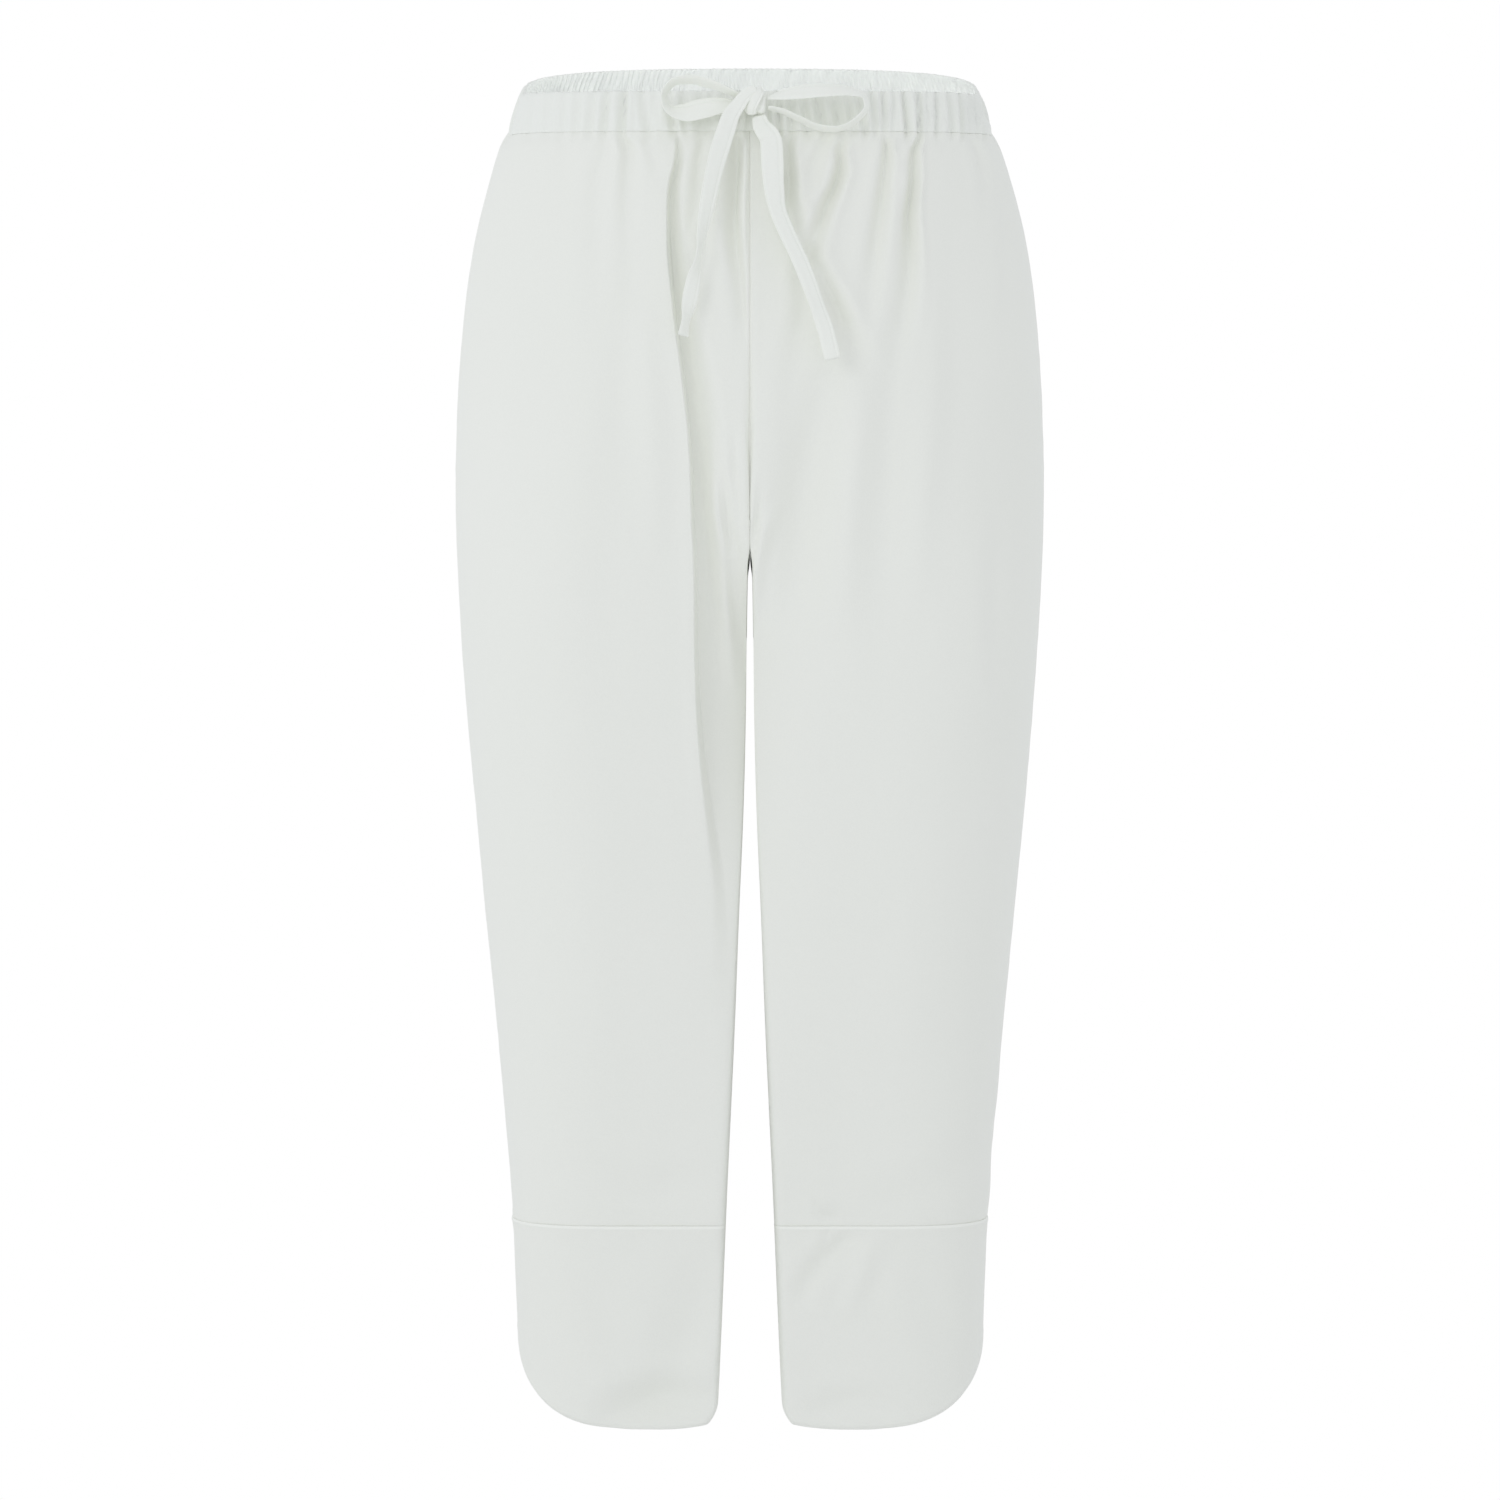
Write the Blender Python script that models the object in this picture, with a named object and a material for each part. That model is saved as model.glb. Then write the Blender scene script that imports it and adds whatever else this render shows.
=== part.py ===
"""Capri pants in their worn, hollow shape: gathered elastic waistband, tied tape, tapered legs, deep cuffs.

All sizes are in millimetres and become metres when a mesh is made. x points to the wearer's left, y to
the back and z up. The origin is the middle of the waist opening, level with the middle of the waistband
at the side seams. A place on a leg panel is (u, level): u runs round one half of the garment, 0 at the
centre front or the inseam, 0.5 at the side seam and 1 at the centre back; level is the height of that
row at the side seam.
"""

import math

import bmesh
import bpy
import numpy as np

MM = 0.001

# Driving sizes
SEAM_GAP = 0.3  # left between two pieces that are sewn together
PANEL_WALL = 1.4
CUFF_WALL = 1.8
BAND_WALL = 2.2
TAPE_WALL = 1.5
WAIST_SEAM = -12.4  # levels, at the side seam
CROTCH = -274.0
CUFF_SEAM = -680.0
HEM = -803.5
OUTSEAM_END = -752.0  # where the cuffs part at the side, above their rounded corners
CORNER_SWEEP = 0.28  # share of a half ring that a rounded corner takes
CORNER_POWER = 1.9
BAND_HEIGHT = 24.8
BAND_TOP_HALF_WIDTH = 141.5
BAND_SEAM_HALF_WIDTH = 149.0
BAND_TOP_DEPTH = 99.0
BAND_SEAM_DEPTH = 104.0
FRONT_DIP = -9.6  # the waistline is lower at the centre front and higher at the centre back
BACK_RISE = 31.0
BACK_RISE_POWER = 0.62  # under 1 it climbs soonest near the side seams
DIP_FADES_AT = -160.0
CROTCH_Y = 10.0  # how far behind the side seams the crotch point lies

# Section of the body at each level: from the centre to the side seam, from the centre to the inner leg,
# and the depth before and behind the side seams.
SECTION_COLUMNS = ("level", "half_width", "inner", "front", "back")
SECTIONS = (
    (-12.4, 149.0, 0.15, 104.0, 104.0),
    (-20.0, 154.0, 0.15, 107.0, 108.0),
    (-32.0, 158.4, 0.15, 109.5, 112.5),
    (-48.0, 163.0, 0.15, 112.0, 118.0),
    (-72.0, 169.0, 0.15, 116.0, 125.0),
    (-102.0, 174.2, 0.15, 120.0, 131.0),
    (-149.0, 179.2, 0.15, 124.0, 137.5),
    (-200.0, 181.6, 0.15, 125.0, 140.5),
    (-250.0, 181.8, 0.15, 122.0, 138.0),
    (-274.0, 181.0, 0.40, 120.0, 134.0),
    (-307.0, 179.4, 1.20, 117.0, 127.0),
    (-374.0, 174.6, 2.30, 110.0, 113.0),
    (-436.0, 168.8, 3.60, 102.0, 103.0),
    (-480.0, 164.6, 5.60, 97.0, 98.0),
    (-557.0, 157.0, 8.80, 89.0, 92.0),
    (-622.0, 151.2, 11.8, 82.5, 86.0),
    (-680.0, 146.6, 14.2, 78.0, 82.0),
    (-720.0, 145.0, 16.0, 76.0, 80.0),
    (-754.0, 144.2, 17.4, 75.0, 79.0),
    (-803.5, 143.4, 19.4, 74.0, 78.0),
)
TORSO_POWER = 2.3  # superellipse powers: 2 is an ellipse, more is squarer
LEG_POWER = 2.15
CUFF_POWER = 2.6  # the cuffs are stiffer and stand squarer
CUFF_FORM_TOP = -560.0
TORSO_TURN = 0.07  # moves the quarter point of a torso section towards the leg's crease
SEAM_CURVE_POWER = 2.4
FRONT_CURVE_TOP = -165.0  # where the crotch curve leaves the straight centre-front and back seams
BACK_CURVE_TOP = -130.0
LEG_FORM_TOP = -165.0  # between these levels the half torso turns into a leg
LEG_FORM_LOW = -325.0
SEAM_REACH = 0.06  # share of the half ring next to the seam that follows the crotch curve

# The long pressed fold down the wearer's right front, and its soft partner on the left.
CREASE_COLUMNS = ("level", "x", "rise", "drop")
CREASES = {
    -1: (
        (WAIST_SEAM, 43.6, 0.8, 2.0),
        (-20.0, 42.6, 1.6, 4.2),
        (-34.0, 41.8, 2.2, 6.0),
        (-58.0, 46.4, 2.4, 6.5),
        (-88.0, 48.4, 2.8, 7.5),
        (-106.0, 46.0, 3.0, 7.5),
        (-142.0, 40.8, 3.2, 7.5),
        (-184.0, 35.8, 3.4, 7.0),
        (-225.0, 32.4, 4.0, 6.0),
        (-279.0, 31.0, 4.8, 5.5),
        (-327.0, 28.8, 4.8, 5.0),
        (-375.0, 27.0, 4.0, 4.0),
        (-434.0, 23.6, 2.4, 2.0),
        (-518.0, 20.0, 0.8, 0.5),
        (-600.0, 26.0, 0.0, 0.0),
        (-680.0, 34.0, 0.0, 0.0),
    ),
    1: (
        (WAIST_SEAM, 50.0, 0.3, 0.5),
        (-60.0, 52.0, 0.8, 1.5),
        (-110.0, 53.0, 1.0, 2.0),
        (-166.0, 56.0, 1.2, 2.6),
        (-213.0, 48.0, 1.4, 3.2),
        (-279.0, 42.0, 1.4, 3.4),
        (-327.0, 38.0, 1.2, 2.6),
        (-400.0, 33.0, 0.6, 1.2),
        (-518.0, 24.0, 0.0, 0.0),
        (-600.0, 27.0, 0.0, 0.0),
        (-680.0, 34.0, 0.0, 0.0),
    ),
}
CREASE_LIP = {-1: 7.0, 1: 20.0}  # from the crest to the bottom of the step beside it
CREASE_OUTER_REACH = 22.0
CREASE_INNER_REACH = 20.0

# Gathers that run down from the waist seam: x at the top, half way and at the end, the level where each
# ends, and the depth and half breadth of its trough. side -1 is the wearer's right; face 0 is the front.
GATHER_COLUMNS = ("side", "face", "x_top", "x_mid", "x_end", "end", "depth", "breadth")
GATHERS = (
    (-1, 0, 11.0, 17.0, 8.0, -165.0, 3.6, 8.0),
    (-1, 0, 72.0, 75.5, 74.0, -150.0, 2.4, 6.0),
    (-1, 0, 91.0, 93.0, 90.0, -260.0, 1.8, 9.0),
    (-1, 0, 116.0, 119.0, 121.0, -90.0, 1.4, 6.0),
    (1, 0, 18.0, 24.0, 32.0, -95.0, 4.5, 6.5),
    (1, 0, 58.0, 52.0, 36.0, -110.0, 4.5, 6.0),
    (1, 0, 83.5, 79.0, 70.0, -140.0, 4.2, 6.5),
    (1, 0, 103.0, 96.0, 86.0, -160.0, 4.4, 6.0),
    (1, 0, 131.0, 137.0, 143.0, -75.0, 3.0, 5.0),
    (-1, 1, 16.0, 21.0, 24.0, -120.0, 3.0, 7.0),
    (-1, 1, 41.0, 44.0, 52.0, -165.0, 3.6, 7.5),
    (-1, 1, 68.0, 73.0, 79.0, -105.0, 2.8, 7.0),
    (-1, 1, 94.0, 101.0, 112.0, -150.0, 3.2, 7.5),
    (-1, 1, 123.0, 129.0, 136.0, -85.0, 2.4, 6.0),
    (1, 1, 22.0, 25.0, 31.0, -155.0, 3.4, 7.5),
    (1, 1, 48.0, 55.0, 63.0, -100.0, 2.6, 7.0),
    (1, 1, 77.0, 81.0, 90.0, -160.0, 3.4, 7.5),
    (1, 1, 106.0, 112.0, 119.0, -95.0, 2.8, 6.5),
    (1, 1, 130.0, 134.0, 139.0, -130.0, 2.2, 6.0),
)
GATHER_ROLL = 0.35  # height of the soft roll on each side of a trough, as a share of its depth
EDGE_HOLD = 9.0  # folds fade out this near a seam

# Rows and columns of the meshes
FRONT_COLUMNS = (7, 1, 22)  # centre seam to crease bottom, the crease's step, crease to side seam
BACK_COLUMNS = 20
PANEL_LEVELS = (
    WAIST_SEAM, -22.0, -36.0, -56.0, -82.0, -112.0, -145.0, -180.0, -210.0, -234.0, -252.0, -264.0,
    -271.0, CROTCH, -284.0, -305.0, -335.0, -375.0, -430.0, -500.0, -590.0, CUFF_SEAM,
)
CUFF_COLUMNS = 14
CUFF_ROWS = 4
FRONT_WAVES = 40
FRONT_WAVE_HEIGHT = 0.9
BACK_WAVES = 64
BACK_WAVE_HEIGHT = 0.6
COLUMNS_PER_WAVE = 4
RING_SAMPLES = 400  # points on a section before it is divided evenly
FRONT_FACING = 0.35  # a section's points count as its front beyond this share of its depth
LEAST_INNER_PART = 12.0  # least length of a front row from the seam to the crease's foot
LEAST_STEP_PART = 7.0

# The bow, in front of the waistband. Each tape is a row for each point of its route: where it lies, how
# wide it is there, and its lean: 0 shows the viewer its edge, 90 its face.
TAPE_COLUMNS = ("x", "y", "z", "width", "lean")
KNOT_CENTRE = (3.0, -109.4, -6.5)
KNOT_HALF_SIZE = (7.0, 6.85, 6.8)
TAPE_ROUTES = {
    "drawstring_loop_right": (
        (-4.6, -111.5, -2.6, 5.0, 20.0),
        (-12.0, -113.0, 0.4, 7.0, 24.0),
        (-23.0, -114.0, 4.6, 9.5, 26.0),
        (-37.0, -113.0, 7.6, 10.0, 24.0),
        (-47.0, -110.5, 5.4, 10.0, 20.0),
        (-51.6, -108.5, -1.6, 10.0, 18.0),
        (-48.6, -108.0, -9.0, 10.0, 34.0),
        (-40.0, -109.0, -11.4, 10.4, 58.0),
        (-29.0, -110.5, -9.6, 10.4, 66.0),
        (-17.0, -111.5, -7.8, 8.6, 60.0),
        (-9.0, -111.5, -7.6, 6.4, 40.0),
        (-4.6, -111.2, -8.6, 5.0, 20.0),
    ),
    "drawstring_loop_left": (
        (10.6, -111.5, -3.4, 5.0, 20.0),
        (17.0, -113.0, -2.0, 7.4, 45.0),
        (30.0, -114.5, 0.0, 10.4, 58.0),
        (46.0, -114.0, 1.2, 10.4, 54.0),
        (60.0, -110.5, 1.0, 10.0, 38.0),
        (68.0, -108.0, -1.6, 10.0, 22.0),
        (69.6, -106.5, -7.6, 10.0, 14.0),
        (63.6, -106.5, -15.6, 10.0, 12.0),
        (53.0, -107.5, -21.0, 10.0, 12.0),
        (41.0, -109.0, -20.4, 10.0, 14.0),
        (29.0, -110.5, -15.4, 9.0, 16.0),
        (18.0, -111.0, -10.6, 7.0, 18.0),
        (10.6, -111.2, -9.0, 5.0, 20.0),
    ),
    "drawstring_end_right": (
        (3.6, -117.1, 0.6, 6.0, 90.0),
        (0.4, -117.6, -0.4, 6.2, 90.0),
        (-3.4, -118.6, -3.6, 6.6, 88.0),
        (-6.6, -119.4, -8.0, 7.0, 84.0),
        (-10.6, -120.2, -13.6, 8.0, 72.0),
        (-14.6, -121.4, -24.6, 9.0, 70.0),
        (-19.0, -124.0, -39.0, 9.0, 68.0),
        (-22.6, -127.0, -54.6, 9.0, 66.0),
        (-26.0, -129.6, -72.0, 9.0, 60.0),
        (-28.4, -131.4, -86.0, 9.0, 40.0),
        (-30.6, -132.4, -100.0, 9.4, 16.0),
        (-33.4, -133.2, -114.0, 9.8, 60.0),
        (-36.0, -134.0, -127.0, 9.6, 64.0),
        (-38.2, -134.8, -139.0, 9.0, 30.0),
        (-39.6, -135.4, -147.4, 9.0, 46.0),
    ),
    "drawstring_end_left": (
        (5.4, -111.8, -13.9, 6.0, 90.0),
        (6.4, -112.4, -18.6, 8.0, 88.0),
        (12.0, -117.6, -28.0, 10.6, 84.0),
        (13.2, -121.6, -40.0, 10.6, 80.0),
        (14.0, -125.6, -56.0, 10.4, 76.0),
        (16.2, -128.6, -71.0, 10.0, 72.0),
        (22.0, -131.0, -86.0, 10.0, 70.0),
        (29.0, -133.0, -101.0, 10.2, 70.0),
        (34.8, -134.6, -115.6, 10.2, 68.0),
        (40.0, -136.0, -130.0, 10.0, 62.0),
        (44.4, -137.0, -143.0, 10.0, 76.0),
        (49.0, -138.0, -161.4, 9.6, 84.0),
    ),
}
TAPE_STEPS = 3  # divisions between two points of a route
TAPE_CROWN = 1.3  # the tape is this much thicker along its middle

CLOTH_COLOUR = (0.79, 0.81, 0.785)
BAND_COLOUR = (0.79, 0.815, 0.80)
TAPE_COLOUR = (0.80, 0.815, 0.785)
CLOTH_ROUGHNESS = 0.9


def column(table, names, name):
    return np.array([row[names.index(name)] for row in table], float)


def through(places, values, at):
    """A smooth curve through the values, read at other places."""
    places = np.asarray(places, float)
    values = np.asarray(values, float)
    if places[0] > places[-1]:
        places, values = places[::-1], values[::-1]
    slopes = np.gradient(values, places)
    at = np.clip(np.asarray(at, float), places[0], places[-1])
    k = np.clip(np.searchsorted(places, at) - 1, 0, len(places) - 2)
    step = places[k + 1] - places[k]
    t = (at - places[k]) / step
    rise = values[k + 1] - values[k]
    start, end = slopes[k] * step, slopes[k + 1] * step
    return values[k] + t * (start + t * (3 * rise - 2 * start - end + t * (start + end - 2 * rise)))


def ease(start, end, at):
    """0 at start, 1 at end, and smooth between them."""
    t = np.clip((np.asarray(at, float) - start) / (end - start), 0, 1)
    return t * t * (3 - 2 * t)


def signed_power(value, power):
    return np.sign(value) * np.abs(value) ** power


def size_at(name, level):
    return through(column(SECTIONS, SECTION_COLUMNS, "level"), column(SECTIONS, SECTION_COLUMNS, name), level)


def torso_turn(u):
    """The angle round the torso, from the centre front, of the place u."""
    return np.pi * (u - TORSO_TURN * np.sin(2 * np.pi * u))


def waistline(u):
    """How far the waistline lies above its height at the side seam."""
    forward = np.cos(torso_turn(u))
    return np.where(forward > 0, FRONT_DIP * np.abs(forward), BACK_RISE * np.abs(forward) ** BACK_RISE_POWER)


def leg_share(u, level):
    """0 where the section is half a torso and 1 where it is a whole leg."""
    curve_top = np.where(u < 0.5, FRONT_CURVE_TOP, BACK_CURVE_TOP)
    down = np.clip((curve_top - level) / (curve_top - CROTCH), 0, 1)
    at_seam = 1 - (1 - down**SEAM_CURVE_POWER) ** (1 / SEAM_CURVE_POWER)
    away = ease(LEG_FORM_TOP, LEG_FORM_LOW, level)
    near = np.exp(-((np.minimum(u, 1 - u) / SEAM_REACH) ** 2))
    return away + (at_seam - away) * near


def body_section(u, level):
    """x, y and z of places on one smooth half of the garment, before any fold."""
    u, level = np.broadcast_arrays(np.asarray(u, float), np.asarray(level, float))
    half_width = size_at("half_width", level)
    inner = size_at("inner", level)
    depth = np.where(u < 0.5, size_at("front", level), size_at("back", level))
    turn = torso_turn(u)
    torso_x = half_width * np.abs(np.sin(turn)) ** (2 / TORSO_POWER)
    torso_y = -depth * signed_power(np.cos(turn), 2 / TORSO_POWER)
    round_leg = 2 * np.pi * u
    power = 2 / (LEG_POWER + (CUFF_POWER - LEG_POWER) * ease(CUFF_FORM_TOP, CUFF_SEAM, level))
    leg_x = (half_width + inner) / 2 - (half_width - inner) / 2 * signed_power(np.cos(round_leg), power)
    leg_y = -depth * signed_power(np.sin(round_leg), power)
    leg_y = leg_y + CROTCH_Y * ease(-480, CROTCH, level) * (1 + np.cos(round_leg)) / 2
    share = leg_share(u, level)
    x = np.maximum(torso_x + (leg_x - torso_x) * share, SEAM_GAP / 2)
    y = torso_y + (leg_y - torso_y) * share
    z = level + waistline(u) * (1 - ease(WAIST_SEAM, DIP_FADES_AT, level))
    return np.stack([x, y, z], axis=-1)


def flat_normals(points):
    """Outward horizontal normals along a section that runs from the centre front to the centre back."""
    along = np.gradient(points[..., :2], axis=-2)
    out = np.stack([along[..., 1], -along[..., 0]], axis=-1)
    return out / np.maximum(np.linalg.norm(out, axis=-1, keepdims=True), 1e-9)


def crease_depth(side, x, level):
    """How far the long fold moves the front: a crest, a step down beside it, and a slow recovery."""
    table = CREASES[side]
    levels = column(table, CREASE_COLUMNS, "level")
    crest_x = through(levels, column(table, CREASE_COLUMNS, "x"), level)
    rise = np.interp(-level, -levels, column(table, CREASE_COLUMNS, "rise"))
    drop = np.interp(-level, -levels, column(table, CREASE_COLUMNS, "drop"))
    inward = crest_x - x
    lip = CREASE_LIP[side]
    crest = rise * np.exp(np.minimum(inward, 0) / CREASE_OUTER_REACH)
    floor = -drop * np.exp(-np.maximum(inward - lip, 0) / CREASE_INNER_REACH)
    return crest + (floor - crest) * ease(0, lip, inward)


def gather_depth(side, face, x, level):
    """How far the gathers below the waist seam move the cloth."""
    moved = np.zeros(np.broadcast(x, level).shape)
    for row in GATHERS:
        fold = dict(zip(GATHER_COLUMNS, row))
        if (fold["side"], fold["face"]) != (side, face):
            continue
        t = np.clip((WAIST_SEAM - level) / (WAIST_SEAM - fold["end"]), 0, 1)
        middle = 2 * fold["x_mid"] - (fold["x_top"] + fold["x_end"]) / 2
        centre = (1 - t) ** 2 * fold["x_top"] + 2 * t * (1 - t) * middle + t**2 * fold["x_end"]
        off = (x - centre) / fold["breadth"]
        trough = np.exp(-(off**2))
        rolls = np.exp(-((off - 1.9) ** 2)) + np.exp(-((off + 1.9) ** 2))
        strength = fold["depth"] * (1 - ease(0.35, 1, t)) * (0.45 + 0.55 * ease(0, 0.2, t))
        moved = moved + strength * (GATHER_ROLL * rolls - trough)
    return moved


def folded_section(side, face, level):
    """One row of a panel with its folds, as points from its inner or centre seam to its side seam."""
    start, end = ((0, 0.5), (1, 0.5))[face]
    u = np.linspace(start, end, RING_SAMPLES)
    row = body_section(u, level)
    out = flat_normals(row) * (1, -1)[face]
    length = path_length(row)
    hold = ease(0, EDGE_HOLD, length) * ease(0, EDGE_HOLD, length[-1] - length)
    moved = gather_depth(side, face, row[:, 0], level)
    if face == 0:
        moved = moved + crease_depth(side, row[:, 0], level)
    row[:, :2] += out * (moved * hold)[:, None]
    row[:, 0] = np.maximum(row[:, 0], SEAM_GAP / 2)
    return row


def path_length(points):
    steps = np.linalg.norm(np.diff(points, axis=0), axis=1)
    return np.concatenate([[0], np.cumsum(steps)])


def divided(points, marks):
    """The points at the given lengths along a path."""
    length = path_length(points)
    return np.stack([np.interp(marks, length, points[:, axis]) for axis in range(3)], axis=-1)


def panel_marks(side, face, level, row):
    """Lengths along a row where its columns go, so that one column keeps to each line of the long fold."""
    length = path_length(row)
    last = length[-1] - SEAM_GAP / 2
    first = 0.0 if level > CROTCH else SEAM_GAP
    if face == 1:
        return np.linspace(first, last, BACK_COLUMNS + 1)
    table = CREASES[side]
    crest_x = through(column(table, CREASE_COLUMNS, "level"), column(table, CREASE_COLUMNS, "x"), level)
    forward = row[:, 1] <= row[:, 1].min() * FRONT_FACING
    crest = np.interp(crest_x, row[forward, 0], length[forward])
    foot = np.interp(crest_x - CREASE_LIP[side], row[forward, 0], length[forward])
    foot = max(foot, first + LEAST_INNER_PART)
    stops = (first, foot, max(crest, foot + LEAST_STEP_PART), last)
    parts = [np.linspace(a, b, n, endpoint=False) for a, b, n in zip(stops, stops[1:], FRONT_COLUMNS)]
    return np.concatenate([*parts, [last]])


def grid_normals(grid):
    """Normals of a grid of points, level along its first and last rows."""
    across = np.gradient(grid, axis=1)
    down = np.gradient(grid, axis=0)
    normals = np.cross(across, down)
    normals[[0, -1], :, 2] = 0
    return normals / np.maximum(np.linalg.norm(normals, axis=-1, keepdims=True), 1e-9)


def cloth_material(name, colour):
    material = bpy.data.materials.new(name)
    material.use_nodes = True
    shader = material.node_tree.nodes["Principled BSDF"]
    shader.inputs["Base Color"].default_value = (*colour, 1.0)
    shader.inputs["Roughness"].default_value = CLOTH_ROUGHNESS
    shader.inputs["Metallic"].default_value = 0.0
    return material


def add_object(name, mesh_data, colour):
    """Turns a bmesh in millimetres into a named object in metres with its own material."""
    bmesh.ops.scale(mesh_data, vec=(MM, MM, MM), verts=mesh_data.verts)
    bmesh.ops.recalc_face_normals(mesh_data, faces=mesh_data.faces)
    mesh = bpy.data.meshes.new(name)
    mesh_data.to_mesh(mesh)
    mesh_data.free()
    mesh.materials.append(cloth_material(name + "_cloth", colour))
    mesh.shade_smooth()
    mesh.set_sharp_from_angle(angle=math.radians(50))
    made = bpy.data.objects.new(name, mesh)
    bpy.context.scene.collection.objects.link(made)
    return made


def add_wall(name, outer, inner, colour):
    """A closed wall between two grids of points of the same shape."""
    rows, columns = outer.shape[:2]
    made = bmesh.new()
    front = [[made.verts.new(outer[i, j]) for j in range(columns)] for i in range(rows)]
    back = [[made.verts.new(inner[i, j]) for j in range(columns)] for i in range(rows)]
    for i in range(rows - 1):
        for j in range(columns - 1):
            made.faces.new((front[i][j], front[i][j + 1], front[i + 1][j + 1], front[i + 1][j]))
            made.faces.new((back[i][j], back[i + 1][j], back[i + 1][j + 1], back[i][j + 1]))
    rim = [(0, j) for j in range(columns)]
    rim += [(i, columns - 1) for i in range(1, rows)]
    rim += [(rows - 1, j) for j in range(columns - 2, -1, -1)]
    rim += [(i, 0) for i in range(rows - 2, 0, -1)]
    for (a, b), (c, d) in zip(rim, rim[1:] + rim[:1]):
        made.faces.new((front[a][b], back[a][b], back[c][d], front[c][d]))
    return add_object(name, made, colour)


def add_panel(name, side, face):
    """A leg panel from the waist seam to the cuff seam."""
    rows = []
    for level in PANEL_LEVELS:
        row = folded_section(side, face, level)
        rows.append(divided(row, panel_marks(side, face, level, row)))
    outer = np.array(rows)
    outer[0, :, 2] -= SEAM_GAP / 2
    outer[-1, :, 2] += SEAM_GAP / 2
    normals = grid_normals(outer) * (1, -1)[face]
    below_crotch = np.array(PANEL_LEVELS) <= CROTCH
    normals[:, -1, 1] = 0
    normals[below_crotch, 0, 1] = 0
    normals /= np.linalg.norm(normals, axis=-1, keepdims=True)
    inner = outer - normals * PANEL_WALL
    inner[..., 0] = np.maximum(inner[..., 0], SEAM_GAP / 2)
    mirror = np.array([side, 1, 1])
    add_wall(name, outer * mirror, inner * mirror, CLOTH_COLOUR)


def hem_height(u):
    """How far the cuff's edge rises above the hem: nothing at the middle, most at the outseam."""
    from_outseam = np.abs(u - 0.5) / CORNER_SWEEP
    return (OUTSEAM_END - HEM) * np.clip(1 - from_outseam, 0, 1) ** CORNER_POWER


def add_cuff(name, side, face):
    """Half of a cuff, from the cuff seam to the hem, with its rounded corner at the outseam."""
    start, end = ((0, 0.5), (1, 0.5))[face]
    fine_u = np.linspace(start, end, RING_SAMPLES)
    ring = body_section(fine_u, CUFF_SEAM)
    length = path_length(ring)
    marks = np.linspace(SEAM_GAP / 2, length[-1] - SEAM_GAP / 2, CUFF_COLUMNS + 1)
    u = np.interp(marks, length, fine_u)
    top = CUFF_SEAM - SEAM_GAP / 2
    down = np.linspace(0, 1, CUFF_ROWS + 1)[:, None]
    levels = top + (HEM + hem_height(u)[None, :] - top) * down
    outer = body_section(np.broadcast_to(u, levels.shape), levels)
    outer[..., 2] = levels
    out = flat_normals(outer) * (1, -1)[face]
    inner = outer.copy()
    inner[..., :2] -= out * CUFF_WALL
    mirror = np.array([side, 1, 1])
    add_wall(name, outer * mirror, inner * mirror, CLOTH_COLOUR)


def uneven_waves(share, waves):
    """Ripples along a gathered strip, unevenly spaced and of uneven height, between -1 and 1."""
    drift = 0.35 * np.sin(2 * np.pi * 3.3 * share + 1.0) + 0.25 * np.sin(2 * np.pi * 7.1 * share)
    size = 0.75 + 0.25 * np.sin(2 * np.pi * 5.3 * share + 0.4)
    return size * np.sin(2 * np.pi * (waves * share + drift))


def add_band(name, face, waves, wave_height, rows):
    """Half of the waistband, from one side seam round to the other, rippled by its elastic."""
    reach = np.linspace(-0.5, 0.5, 2 * RING_SAMPLES + 1)
    u = np.abs(reach) if face == 0 else 1 - np.abs(reach)
    turn = torso_turn(u)
    ring_x = np.sign(reach) * np.abs(np.sin(turn)) ** (2 / TORSO_POWER)
    ring_y = -signed_power(np.cos(turn), 2 / TORSO_POWER)
    outer = []
    inner = []
    for height in np.linspace(SEAM_GAP / 2, BAND_HEIGHT, rows + 1):
        up = height / BAND_HEIGHT
        half_width = BAND_SEAM_HALF_WIDTH + (BAND_TOP_HALF_WIDTH - BAND_SEAM_HALF_WIDTH) * up**1.3
        depth = BAND_SEAM_DEPTH + (BAND_TOP_DEPTH - BAND_SEAM_DEPTH) * up**1.3
        ring = np.stack([ring_x * half_width, ring_y * depth, waistline(u)], axis=-1)
        ring[:, 2] += WAIST_SEAM + height
        length = path_length(ring)
        marks = np.linspace(SEAM_GAP / 2, length[-1] - SEAM_GAP / 2, waves * COLUMNS_PER_WAVE + 1)
        row = divided(ring, marks)
        out = flat_normals(row) * (1, -1)[face]
        share = marks / length[-1]
        ends = ease(0, 0.01, share) * ease(0, 0.01, 1 - share)
        ripple = uneven_waves(share, waves) * wave_height * ends
        moved = row.copy()
        moved[:, :2] += out * ripple[:, None]
        under = moved.copy()
        under[:, :2] -= out * BAND_WALL
        outer.append(moved)
        inner.append(under)
    add_wall(name, np.array(outer), np.array(inner), BAND_COLOUR)


def route_points(route, steps):
    """The route's own columns, read from a smooth curve through them."""
    table = np.array(route, float)
    length = path_length(table[:, :3])
    marks = np.interp(np.arange((len(table) - 1) * steps + 1) / steps, np.arange(len(table)), length)
    return np.stack([through(length, table[:, k], marks) for k in range(table.shape[1])], axis=-1)


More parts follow.
